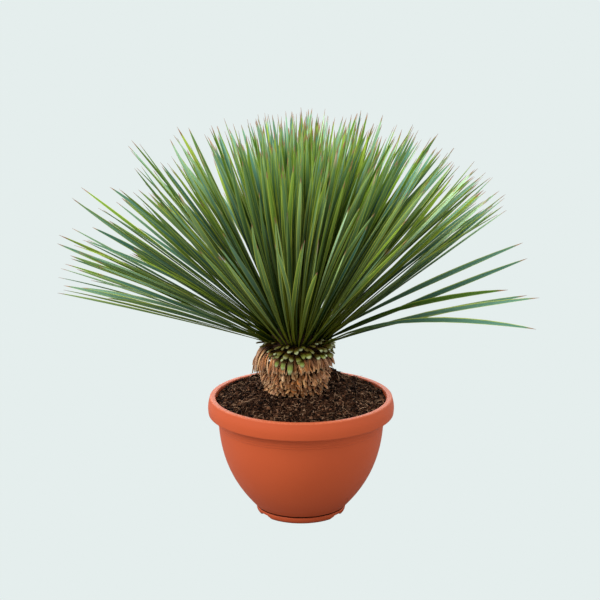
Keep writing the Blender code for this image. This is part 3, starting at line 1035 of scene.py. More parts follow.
@dataclass
class Bowl:
    """The one-piece moulded bowl: a foot ring, a round side, a stepped neck and a deep rolled rim."""

    sides: int = 160
    outside_steps: int = 60
    inside_steps: int = 30
    gauge_steps: int = 24
    rim_band: float = 0.038
    rim_edge: float = 0.0126
    rim_taper: float = 0.003
    rim_bulge: float = 0.0020
    rim_round: float = 0.0032
    rim_corner: float = 0.003
    rim_fillet: Outline = ((0.0, 0.0015), (0.0012, 0.0022))
    neck: float = 0.0212
    wall: float = 0.004
    shoulder_drops: tuple[float, ...] = (0.0242, 0.0185, 0.0118)
    shoulder_step: float = 0.0009
    shoulder_ledge: float = 0.0012
    foot_waist: float = 0.0968
    foot_height: float = 0.0152
    foot_middle: float = 0.0900
    foot_ring: Outline = ((0.0850, 0.010), (0.0850, 0.001), (0.0860, 0.0), (0.0890, 0.0))
    foot_side: Outline = ((0.0890, 0.0), (0.0952, 0.0005), (0.0972, 0.006), (0.0972, 0.0126))
    foot_groove: Outline = ((0.0966, 0.0136), (0.0946, 0.0142), (0.0960, 0.0152))
    crisp: float = 30.0
    low_handle: tuple[float, float] = (0.1368, 0.057)
    high_handle_height: float = 0.1146
    floor_under: float = 0.010
    floor_top: float = 0.015
    notch_azimuths: tuple[float, ...] = (-35.0, 90.0, 215.0)
    notch_size: tuple[float, float, float] = (0.026, 0.030, 0.0082)
    notch_flare: float = 0.006
    notch_round: float = 0.45
    drain_holes: int = 5
    drain_circle: float = 0.052
    drain_radius: float = 0.005
    drain_turn: float = 20.0
    drain_sides: int = 24
    height: float = field(init=False)
    rim: float = field(init=False)

    def __post_init__(self) -> None:
        """Takes the height and the rim's radius from the frame."""
        low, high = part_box("pot")
        self.height = high.z
        self.rim = (high.x - low.x) / 2

    def side(self, inward: float, steps: int) -> Outline:
        """The round side from the foot's waist to the rim, moved inward.

        Args:
            inward: How far it is moved.
            steps: The number of points.

        Returns:
            The points as (radius, height).
        """
        top = self.rim - self.neck - inward
        corners = (
            (self.foot_waist - inward, self.foot_height),
            (self.low_handle[0] - inward, self.low_handle[1]),
            (top, self.high_handle_height),
            (top, self.height - self.rim_band),
        )
        return bezier(corners, steps)

    def inside_radius(self, height: float) -> float:
        """The radius of the inner wall at a height.

        Args:
            height: The height.

        Returns:
            The radius.
        """
        edge = (self.rim - self.rim_taper - self.rim_edge, self.height)
        line = [*self.side(self.wall, self.gauge_steps), edge]
        for lower, upper in zip(line, line[1:]):
            if lower[1] <= height <= upper[1]:
                return blend(lower[0], upper[0], (height - lower[1]) / (upper[1] - lower[1]))
        return line[0][0]

    def _outside(self) -> Outline:
        """The outline from the middle of the underside up to the rim's lower edge."""
        under_rim = self.height - self.rim_band
        foot = [(0.0, self.floor_under), *self.foot_ring, *bezier(self.foot_side, 10), *self.foot_groove]
        side = []
        for radius, height in self.side(0.0, self.outside_steps):
            steps = sum(height > under_rim - drop for drop in self.shoulder_drops)
            for drop in self.shoulder_drops[:steps]:
                low = under_rim - drop
                if side and side[-1][1] < low:
                    below = side[-1][0]
                    side += [(below, low - self.shoulder_ledge), (below + self.shoulder_step, low)]
            side.append((radius + steps * self.shoulder_step, height))
        return foot + side[1:]

    def _rim(self) -> Outline:
        """The outline of the rim, from its lower edge over the top to the inner wall."""
        under = self.height - self.rim_band
        neck = self.rim - self.neck + len(self.shoulder_drops) * self.shoulder_step
        outer, top = self.rim, self.rim - self.rim_taper
        inner = top - self.rim_edge
        turn, corner = self.rim_round, self.rim_corner
        points = [(neck + out, under + up) for out, up in self.rim_fillet]
        points += arc((outer - corner, under + corner), corner, -90.0, 0.0, 5)
        for share in (0.15, 0.3, 0.45, 0.6, 0.75, 0.9):
            bulge = self.rim_bulge * math.sin(math.pi * share)
            height = blend(under + corner, self.height - turn, share)
            points.append((blend(outer, top, share) + bulge, height))
        points += arc((top - turn, self.height - turn), turn, 5.0, 90.0, 8)
        points += arc((inner + corner, self.height - corner), corner, 90.0, 175.0, 6)
        return points

    @staticmethod
    def _tool(builder: bmesh.types.BMesh, place: Vector, azimuth: float) -> bpy.types.Object:
        """A cutting solid at a place, turned to an azimuth.

        Args:
            builder: Its shape.
            place: Its place.
            azimuth: How far it is turned.

        Returns:
            The solid.
        """
        bmesh.ops.recalc_face_normals(builder, faces=builder.faces)
        tool = linked("cutter", poured(builder, "cutter"))
        tool.location = place
        tool.rotation_euler.z = math.radians(azimuth)
        return tool

    def _tools(self) -> Iterator[bpy.types.Object]:
        """The solids that cut the foot's notches and the drain holes."""
        depth, width, height = self.notch_size
        for azimuth in self.notch_azimuths:
            builder = bmesh.new()
            bmesh.ops.create_cube(builder, size=1.0)
            bmesh.ops.scale(builder, verts=builder.verts, vec=(depth, width, 2 * height))
            for vert in builder.verts:
                if vert.co.z < 0:
                    vert.co.y += math.copysign(2 * self.notch_flare, vert.co.y)
            edges = [e for e in builder.edges if min(v.co.z for v in e.verts) > 0]
            edges = [e for e in edges if abs(e.verts[0].co.x - e.verts[1].co.x) > TINY]
            rounding = height * self.notch_round
            bmesh.ops.bevel(builder, geom=edges, offset=rounding, segments=3, affect="EDGES")
            yield self._tool(builder, polar(self.foot_middle, azimuth), azimuth)
        sizes = {"segments": self.drain_sides, "radius1": self.drain_radius, "radius2": self.drain_radius}
        depth = 4 * (self.floor_top - self.floor_under)
        for number in range(self.drain_holes):
            builder = bmesh.new()
            bmesh.ops.create_cone(builder, cap_ends=True, depth=depth, **sizes)
            azimuth = self.drain_turn + 360.0 * number / self.drain_holes
            yield self._tool(builder, polar(self.drain_circle, azimuth, self.floor_under), 0.0)

    def build(self, finish: bpy.types.Material) -> None:
        """Moulds the bowl, cuts its foot and its drain holes, and puts it in place.

        Args:
            finish: Its material.
        """
        inside = self.side(self.wall, self.inside_steps)[:-1][::-1]
        floor = [(self.foot_waist - 2 * self.wall, self.floor_top), (0.0, self.floor_top)]
        outline = [*self._outside(), *self._rim(), *inside, *floor]
        builder = turned(outline, self.sides, Vector())
        blank = linked("bowl_blank", mesh_of(builder, "bowl_blank", finish, self.crisp))
        tools = list(self._tools())
        for tool in tools:
            modifier = blank.modifiers.new("cut", "BOOLEAN")
            modifier.operation = "DIFFERENCE"
            modifier.object = tool
        graph = bpy.context.evaluated_depsgraph_get()
        mesh = bpy.data.meshes.new_from_object(blank.evaluated_get(graph), depsgraph=graph)
        mesh.name = "moulded_bowl"
        mesh.materials.clear()
        mesh.materials.append(finish)
        mesh.shade_smooth()
        mesh.set_sharp_from_angle(angle=math.radians(self.crisp))
        for item in (blank, *tools):
            bpy.data.objects.remove(item)
        put("moulded_bowl", mesh, Slot.PLASTIC, ["pot"])


# ---------------------------------------------------------------- the soil


@dataclass
class Soil:
    """Potting soil that fills the bowl and is mounded to the trunk, with crumbs and root threads."""

    bowl: Bowl
    axis: Vector
    at_wall: float = 0.2515
    at_trunk: float = 0.271
    seat: float = 0.078
    seat_edge: float = 0.020
    mound: float = 0.024
    mound_place: tuple[float, float] = (0.066, 0.100)
    mound_width: float = 0.030
    higher_behind: float = 0.0075
    clods: tuple[tuple[float, float], ...] = ((50.0, 0.0040), (125.0, 0.0058), (300.0, 0.0044))
    sides: int = 300
    rings: int = 110
    threads: int = 2100
    scattered: tuple[tuple[str, int, float, int], ...] = (
        ("soil_crumbs", 2200, 0.0015, 5),
        ("soil_lumps", 1300, 0.0029, 9),
    )
    crumb_play: Range = (0.45, 1.7)
    thread_starts: Range = (-0.0005, 0.002)
    thread_rises: Range = (-5.0, 30.0)
    thread_bend: float = 0.6
    thread_end: float = 0.001
    thread_lengths: Range = (0.007, 0.024)
    thread_widths: Range = (0.0007, 0.0021)
    thread_turn: float = 95.0
    thread_shape: StripShape = StripShape(
        "threads",
        sides=3,
        segments=5,
        thickness=0.0008,
        keel=0.0,
        bow=0.003,
        profile=((0.0, 0.5), (0.5, 1.0), (1.0, 0.3)),
    )
    wall_overlap: float = 0.0006
    wall_gap: float = 0.0004
    floor_gap: float = 0.0003
    clear_of_wall: float = 0.003
    clear_of_trunk: float = 0.055
    crisp: float = 60.0
    seed: int = 31
    bow_seed: int = 3

    def level(self, place: Vector) -> float:
        """The height of the raked soil at a place, before its clods.

        Args:
            place: The place, seen from above.

        Returns:
            The height.
        """
        from_trunk = (place - self.axis.xy).length
        wall = self.bowl.inside_radius(self.at_wall)
        slope = (wall - place.length) / (wall - self.seat)
        height = blend(self.at_wall, self.at_trunk, smooth_share(slope))
        height += self.higher_behind * smooth_share(place.y / wall) * (1.0 - smooth_share(slope))
        away = (place - Vector(self.mound_place)).length / self.mound_width
        clear = smooth_share((from_trunk - self.seat) / self.seat_edge)
        return height + self.mound * math.exp(-away * away) * clear

    def surface(self, place: Vector) -> Vector:
        """The point of the clods' surface at a place.

        Args:
            place: The place, seen from above.

        Returns:
            The point.
        """
        height = self.level(place)
        for scale, rise in self.clods:
            height += rise * noise.noise(Vector((place.x * scale, place.y * scale, scale)))
        return Vector((place.x, place.y, height))

    def spots(self, count: int, chance: Random) -> Iterator[Vector]:
        """Random places on the soil, clear of the wall and of the trunk.

        Args:
            count: How many.
            chance: The random draws.

        Returns:
            The places, one by one.
        """
        reach = self.bowl.inside_radius(self.at_wall) - self.clear_of_wall
        found = 0
        while found < count:
            place = polar(reach * math.sqrt(chance.random()), chance.uniform(0.0, 360.0)).xy
            if (place - self.axis.xy).length > self.clear_of_trunk:
                found += 1
                yield self.surface(place)

    def _bed(self, finish: bpy.types.Material) -> bpy.types.Mesh:
        """The body of soil, with its clods.

        Args:
            finish: Its material.

        Returns:
            The mesh.
        """
        builder = bmesh.new()
        bottom = self.bowl.floor_top + self.floor_gap
        rings = [[builder.verts.new((0.0, 0.0, bottom))]]
        rim = self.bowl.inside_radius(self.at_wall) + self.wall_overlap
        azimuths = [360.0 * side / self.sides for side in range(self.sides)]
        for share in (0.0, 0.2, 0.4, 0.6, 0.8, 0.95):
            height = blend(bottom, self.at_wall, share)
            radius = self.bowl.inside_radius(max(height, self.bowl.foot_height)) - self.wall_gap
            rings.append([builder.verts.new(polar(radius, azimuth, height)) for azimuth in azimuths])
        for ring in range(self.rings):
            radius = rim * (1.0 - ring / self.rings)
            rings.append([builder.verts.new(self.surface(polar(radius, a).xy)) for a in azimuths])
        rings.append([builder.verts.new(self.surface(Vector((0.0, 0.0))))])
        skin_rings(builder, rings)
        return mesh_of(builder, "peat_soil", finish, self.crisp)

    def _threads(self, chance: Random) -> list[Strip]:
        """Root threads that lie on the soil in loose curves.

        Args:
            chance: The random draws.

        Returns:
            The threads.
        """
        threads = []
        for spot in self.spots(self.threads, chance):
            azimuth = chance.uniform(0.0, 360.0)
            length = chance.uniform(*self.thread_lengths)
            start = spot + Vector((0.0, 0.0, chance.uniform(*self.thread_starts)))
            turn = chance.uniform(-self.thread_turn, self.thread_turn)
            rise = chance.uniform(*self.thread_rises)
            bend = start + direction(azimuth, rise) * length * self.thread_bend
            tip = self.surface((bend + polar(length * self.thread_bend, azimuth + turn)).xy)
            tip.z += chance.uniform(-self.thread_end, self.thread_end)
            side = polar(1.0, azimuth + 90.0)
            width = chance.uniform(*self.thread_widths)
            threads.append(Strip(start, bend, tip, side, width, tone=chance.random()))
        return threads

    def build(self, bed: bpy.types.Material, crumb: bpy.types.Material, thread: bpy.types.Material) -> None:
        """Lays the soil, then scatters crumbs, lumps and threads on it.

        Args:
            bed: The soil's material.
            crumb: The crumbs'.
            thread: The threads'.
        """
        put("peat_soil", self._bed(bed), Slot.SOIL, ["soil"])
        chance = Random(self.seed)
        tree = CrumbTree()
        least, most = self.crumb_play
        for name, count, size, seed in self.scattered:
            seeds = bpy.data.meshes.new(name + "_seeds")
            seeds.from_pydata(list(self.spots(count, chance)), [], [])
            inputs = {"Size": size, "Least": least, "Most": most, "Seed": seed, "Finish": crumb}
            put(name, tree.run(name, seeds, inputs), Slot.SOIL)
        threads = self._threads(chance)
        tree = StripTree(self.thread_shape)
        put("root_threads", tree.grow("root_threads", threads, self.bow_seed, thread), Slot.SOIL)


# ---------------------------------------------------------------- trunk and leaf bases


@dataclass
class Trunk:
    """The short woody stem under the leaf bases, with its rounded growing tip."""

    tip_radius: float = 0.055
    foot_radius: float = 0.040
    soil_radius: float = 0.050
    soil_height: float = 0.271
    roughness: float = 0.0016
    bark: tuple[float, float, float] = (160.0, 160.0, 60.0)
    crisp: float = 60.0
    sides: int = 72
    rings: int = 60
    tip_steps: int = 15
    centre: Vector = field(init=False)
    foot: float = field(init=False)

    def __post_init__(self) -> None:
        """Takes the axis, the foot and the crown's centre from the frame."""
        low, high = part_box("trunk")
        middle = (low + high) / 2
        self.centre = Vector((middle.x, middle.y, high.z - self.tip_radius))
        self.foot = low.z

    def radius(self, height: float) -> float:
        """The trunk's radius at a height.

        Args:
            height: The height.

        Returns:
            The radius.
        """
        if height > self.centre.z:
            return math.sqrt(max(0.0, self.tip_radius**2 - (height - self.centre.z) ** 2))
        if height <= self.soil_height:
            share = (height - self.foot) / (self.soil_height - self.foot)
            return blend(self.foot_radius, self.soil_radius, share)
        share = (height - self.soil_height) / (self.centre.z - self.soil_height)
        return blend(self.soil_radius, self.tip_radius, share)

    def beside(self, radius: float, azimuth: float, height: float) -> Vector:
        """A point at a radius from the trunk's axis."""
        return polar(radius, azimuth, height) + self.centre.xy.to_3d()

    def build(self, finish: bpy.types.Material) -> None:
        """Turns the trunk and roughens its bark.

        Args:
            finish: Its material.
        """
        heights = [blend(self.foot, self.centre.z, step / self.rings) for step in range(self.rings + 1)]
        outline = [(0.0, self.foot)] + [(self.radius(height), height) for height in heights]
        for step in range(1, self.tip_steps):
            top = direction(0.0, 90.0 * step / self.tip_steps) * self.tip_radius
            outline.append((top.x, self.centre.z + top.z))
        outline.append((0.0, self.centre.z + self.tip_radius))
        axis = self.centre.xy.to_3d()
        builder = turned(outline, self.sides, axis)
        for vert in builder.verts:
            out = Vector((vert.co.x - axis.x, vert.co.y - axis.y, 0.0))
            if out.length > TINY:
                push = noise.noise(Vector(size * scale for size, scale in zip(vert.co, self.bark)))
                vert.co += out.normalized() * self.roughness * push
        put("bare_trunk", mesh_of(builder, "bare_trunk", finish, self.crisp), Slot.BARK, ["trunk"])


@dataclass(frozen=True)
class Row:
    """One row of leaf bases: the solid that it stands for, and the sizes it takes from it."""

    node: str
    share: float
    bottom: float
    top: float
    reach: float

    @staticmethod
    def all_named(start: str) -> list["Row"]:
        """The rows whose solids' names start so, from the lowest to the highest.

        Args:
            start: What the names start with.

        Returns:
            The rows.
        """
        rows = []
        names = nodes_named(start)
        for number, node in enumerate(names):
            low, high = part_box(node)
            share = number / (len(names) - 1)
            rows.append(Row(node, share, low.z, high.z, (high.x - low.x) / 2))
        return rows


class Bases:
    """Leaf bases of one kind."""

    def strips(self, row: Row, trunk: Trunk, chance: Random) -> list[Strip]:
        """The strips of one row."""
        raise NotImplementedError


@dataclass(frozen=True)
class DryBases(Bases):
    """What dry leaf bases of both kinds share: how they turn, spread and fade."""

    root_depth: float = 0.003
    spacing_play: float = 0.4
    tilt: float = 0.0
    widths: Range = (0.0, 0.0)
    turn: float = 25.0
    splay: float = 6.0
    fading: Range = (0.0, 0.20)
    fading_sideways: Range = (0.1, 0.65)

    def _hung(self, azimuth: float, line: Sequence[Vector], chance: Random) -> Strip:
        """A strip along a root, a bend and a tip, turned at random. It has no tone yet.

        Args:
            azimuth: Where it hangs.
            line: Its root, bend and tip.
            chance: The random draws.

        Returns:
            The strip.
        """
        swing = chance.uniform(-self.turn, self.turn)
        tilt = chance.uniform(-self.tilt, self.tilt)
        width = chance.uniform(*self.widths)
        twist = math.radians(chance.uniform(-self.turn, self.turn))
        return Strip(*line, polar(1.0, azimuth + 90.0 + swing, tilt), width, twist)

    def _faded(self, azimuth: float, chance: Random) -> float:
        """How far a base has faded: least on the front, more on the left and the right."""
        sideways = abs(math.cos(math.radians(azimuth)))
        return chance.uniform(*self.fading) + chance.uniform(*self.fading_sideways) * sideways


@dataclass(frozen=True)
class ShortBases(DryBases):
    """The short blocky bases of the low dry rows."""

    in_row: int = 72
    row_shift: float = 3.5
    below_top: float = 0.005
    reaches: Range = (0.86, 1.02)
    tucked_in: float = 0.008
    drops: Range = (0.55, 0.95)
    shoulder_out: float = 0.96
    shoulder_drop: float = 0.06
    flare: float = 1.06
    tilt: float = 0.20
    widths: Range = (0.0036, 0.0068)
    tones: Range = (0.05, 0.85)
    darker_low_down: float = 0.70
    paler_on_left: float = 0.20

    def strips(self, row: Row, trunk: Trunk, chance: Random) -> list[Strip]:
        """The strips of one row.

        Args:
            row: The row.
            trunk: The trunk that it clothes.
            chance: The random draws.

        Returns:
            The strips.
        """
        strips = []
        for number in range(self.in_row):
            shift = chance.uniform(-self.spacing_play, self.spacing_play)
            azimuth = 360.0 * (number + row.share * self.row_shift + shift) / self.in_row
            top = row.top - chance.uniform(0.0, self.below_top)
            start = trunk.radius(top) - self.root_depth
            out = row.reach * chance.uniform(*self.reaches) - self.tucked_in * row.share**2
            drop = (row.top - row.bottom) * chance.uniform(*self.drops)
            root = trunk.beside(start, azimuth, top)
            shoulder = blend(start, out, self.shoulder_out)
            bend = trunk.beside(shoulder, azimuth, top - drop * self.shoulder_drop)
            out *= chance.uniform(1.0, self.flare)
            tip = trunk.beside(out, azimuth + chance.uniform(-self.splay, self.splay), top - drop)
            strip = self._hung(azimuth, (root, bend, tip), chance)
            strip.tone = chance.uniform(*self.tones) * blend(self.darker_low_down, 1.0, row.share)
            strip.tone += self.paler_on_left * facing(azimuth, LEFT)
            strip.age = self._faded(azimuth, chance)
            strips.append(strip)
        return strips


@dataclass(frozen=True)
class LongBases(DryBases):
    """The long loose strips of the high dry rows, which splay apart on the left."""

    in_row: int = 100
    rise: float = 0.017
    higher_on_left: float = 0.009
    below_top: float = 0.006
    reaches: Range = (0.88, 1.0)
    looser_on_left: float = 0.12
    end: float = 0.331
    end_play: Range = (-0.002, 0.006)
    longer_on_left: float = 0.019
    shoulder_out: float = 0.90
    shoulder_drop: float = 0.002
    tilt: float = 0.15
    widths: Range = (0.0034, 0.0062)
    narrower_on_left: float = 0.85
    tones: Range = (0.05, 0.75)
    paler_on_left: float = 0.30

    def strips(self, row: Row, trunk: Trunk, chance: Random) -> list[Strip]:
        """The strips of one row.

        Args:
            row: The row.
            trunk: The trunk that it clothes.
            chance: The random draws.

        Returns:
            The strips.
        """
        strips = []
        for number in range(self.in_row):
            shift = chance.uniform(-self.spacing_play, self.spacing_play)
            azimuth = 360.0 * (number + shift) / self.in_row
            left = facing(azimuth, LEFT)
            rise = self.rise + self.higher_on_left * left
            top = row.top + rise - chance.uniform(0.0, self.below_top)
            start = trunk.radius(top) - self.root_depth
            out = row.reach * (chance.uniform(*self.reaches) + self.looser_on_left * left * chance.random())
            bottom = self.end + chance.uniform(*self.end_play)
            bottom -= left * chance.uniform(0.0, self.longer_on_left)
            root = trunk.beside(start, azimuth, top)
            shoulder = blend(start, out, self.shoulder_out)
            bend = trunk.beside(shoulder, azimuth, top - self.shoulder_drop)
            splay = chance.uniform(-self.splay, self.splay) * (1.0 + left)
            tip = trunk.beside(out, azimuth + splay, bottom)
            strip = self._hung(azimuth, (root, bend, tip), chance)
            strip.width *= blend(1.0, self.narrower_on_left, left)
            strip.tone = chance.uniform(*self.tones) + self.paler_on_left * left * chance.random()
            strip.age = self._faded(azimuth, chance)
            strips.append(strip)
        return strips


@dataclass(frozen=True)
class GreenStubs(Bases):
    """The cut stubs of the green rows, fewer and darker on the left, more level the higher they are."""

    in_row: int = 40
    row_shift: float = 0.5
    spacing_play: float = 0.35
    greenest: float = -38.0
    mean_freshness: float = 0.5
    freshness_swing: float = 0.9
    fewest: float = 0.50
    root_depth: float = 0.003
    above_top: Range = (0.001, 0.013)
    reaches: Range = (0.88, 0.97)
    lengths: Range = (0.006, 0.0105)
    length_play: Range = (0.75, 1.15)
    droops: Range = (62.0, 14.0)
    droop_play: Range = (-22.0, 18.0)
    bend_rise: float = 0.002
    swing: float = 36.0
    tilt: float = 0.35
    widths: Range = (0.0064, 0.0118)
    width_play: Range = (0.70, 1.15)
    twist: float = 24.0
    tones: Range = (0.0, 0.30)
    fresh_tones: Range = (0.70, 0.30)
    fresh_play: Range = (0.2, 1.0)
    paler_low_down: Range = (1.0, 0.6)
    straps: tuple[tuple[float, float, float], ...] = (
        (-98.0, 0.028, 0.0110),
        (-108.0, 0.019, 0.0092),
        (-118.0, 0.014, 0.0085),
        (-80.0, 0.012, 0.0095),
    )
    strap_root: float = 0.8
    strap_reach: float = 1.01
    strap_bend: float = 0.001
    strap_tone: float = 0.84
    strap_age: float = 0.5

    def strips(self, row: Row, trunk: Trunk, chance: Random) -> list[Strip]:
        """The strips of one row, and of the lowest row's straps.

        Args:
            row: The row.
            trunk: The trunk that it clothes.
            chance: The random draws.

        Returns:
            The strips.
        """
        strips = []
        for number in range(self.in_row):
            shift = chance.uniform(-self.spacing_play, self.spacing_play)
            azimuth = 360.0 * (number + self.row_shift * row.share + shift) / self.in_row
            facing_green = math.cos(math.radians(azimuth - self.greenest))
            fresh = smooth_share(self.mean_freshness + self.freshness_swing * facing_green)
            if chance.random() > self.fewest + (1.0 - self.fewest) * fresh:
                continue
            top = row.top + chance.uniform(*self.above_top)
            out = row.reach * chance.uniform(*self.reaches)
            length = blend(*self.lengths, fresh) * chance.uniform(*self.length_play)
            droop = blend(*self.droops, row.share) + chance.uniform(*self.droop_play)
            root = trunk.beside(trunk.radius(top) - self.root_depth, azimuth, top)
            bend = trunk.beside(out, azimuth, top + self.bend_rise)
            swing = chance.uniform(-self.swing, self.swing)
            tip = bend + direction(azimuth + swing, -droop) * length
            side = polar(1.0, azimuth + 90.0, chance.uniform(-self.tilt, self.tilt))
            width = blend(*self.widths, fresh) * chance.uniform(*self.width_play)
            tone = chance.uniform(*self.tones)
            tone += blend(*self.fresh_tones, row.share) * fresh * chance.uniform(*self.fresh_play)
            twist = math.radians(chance.uniform(-self.twist, self.twist))
            pale = chance.random() ** 2 * blend(*self.paler_low_down, row.share)
            strips.append(Strip(root, bend, tip, side, width, twist, tone, pale))
        return strips if row.share > 0.0 else strips + self._hanging(row, trunk)

    def _hanging(self, row: Row, trunk: Trunk) -> list[Strip]:
        """The few green bases that hang over the dry strips, as straps.

        Args:
            row: The row.
            trunk: The trunk that it clothes.

        Returns:
            The straps.
        """
        strips = []
        root, out = row.reach * self.strap_root, row.reach * self.strap_reach
        look = (self.strap_tone, self.strap_age)
        for azimuth, length, width in self.straps:
            places = ((root, row.top), (out, row.top - self.strap_bend), (out, row.top - length))
            line = [trunk.beside(radius, azimuth, height) for radius, height in places]
            strips.append(Strip(*line, polar(1.0, azimuth + 90.0), width, 0.0, *look))
        return strips


@dataclass
class LeafBases:
    """The rows of leaf bases that clothe the trunk: dry strips below, cut green stubs above."""

    trunk: Trunk
    long_rows: int = 2
    short: ShortBases = ShortBases()
    long: LongBases = LongBases()
    green: GreenStubs = GreenStubs()
    dry_seeds: tuple[int, int] = (200, 40)
    green_seeds: tuple[int, int] = (300, 60)
    dry_shape: StripShape = StripShape(
        "dry_strips",
        sides=6,
        segments=6,
        thickness=0.0030,
        keel=0.12,
        bow=0.0026,
        profile=((0.0, 0.8), (0.5, 1.0), (0.92, 0.95), (1.0, 0.78)),
    )
    green_shape: StripShape = StripShape(
        "green_stubs",
        sides=6,
        segments=6,
        thickness=0.0040,
        keel=0.26,
        bow=0.0015,
        profile=((0.0, 0.9), (0.5, 1.0), (0.84, 0.94), (0.96, 0.76), (1.0, 0.46)),
    )

    def build(self, dry: bpy.types.Material, green: bpy.types.Material) -> None:
        """Grows every row and puts it in place of its solid.

        Args:
            dry: The dry bases' material.
            green: The green ones'.
        """
        rows = Row.all_named("dry_leaf_bases_row_")
        kinds = [self.short] * (len(rows) - self.long_rows) + [self.long] * self.long_rows
        self._rows(rows, kinds, StripTree(self.dry_shape), self.dry_seeds, Slot.DRY_BASE, dry)
        rows = Row.all_named("green_leaf_bases_row_")
        kinds = [self.green] * len(rows)
        self._rows(rows, kinds, StripTree(self.green_shape), self.green_seeds, Slot.GREEN_BASE, green)

    def _rows(
        self,
        rows: Sequence[Row],
        kinds: Sequence[Bases],
        tree: StripTree,
        seeds: tuple[int, int],
        slot: Slot,
        finish: bpy.types.Material,
    ) -> None:
        """Grows some rows.

        Args:
            rows: The rows, from the lowest to the highest.
            kinds: The kind of bases in each row.
            tree: What grows their strips.
            seeds: The first seed of the rows' places, and that of their bows.
            slot: The slot of their finish.
            finish: Their material.
        """
        ending = "strips" if slot is Slot.DRY_BASE else "stubs"
        for number, (row, kind) in enumerate(zip(rows, kinds)):
            strips = kind.strips(row, self.trunk, Random(seeds[0] + number))
            name = row.node.replace("leaf_bases", ending)
            put(name, tree.grow(name, strips, seeds[1] + number, finish), slot, [row.node])


# ---------------------------------------------------------------- the crown


@dataclass(frozen=True)
class Tier:
    """One storey of the crown, as tufts of leaves round the trunk."""

    name: str
    first_azimuth: float
    tufts: int
    low_share: float
    high_share: float
    leaves: int


@dataclass(frozen=True)
class SetLeaf:
    """A leaf that stands out and whose sizes are given one by one.

    It arches over its straight line most at bend_at, a share of its length, and its width is a
    share of the usual one.
    """

    azimuth: float
    rise: float
    length: float
    arch: float
    tone: float = 0.3
    bend_at: float = 0.3
    width: float = 1.65
    roll: float = 28.0
    twist: float = 6.0
    age: float = 0.0


@dataclass(frozen=True)
class Lock:
    """A few longer leaves that lie together and stand out of the outline."""

    azimuth: float
    rise: float
    leaves: int
    spread: float
    length: float
    fan: float = 8.0
    sag: float = 0.015


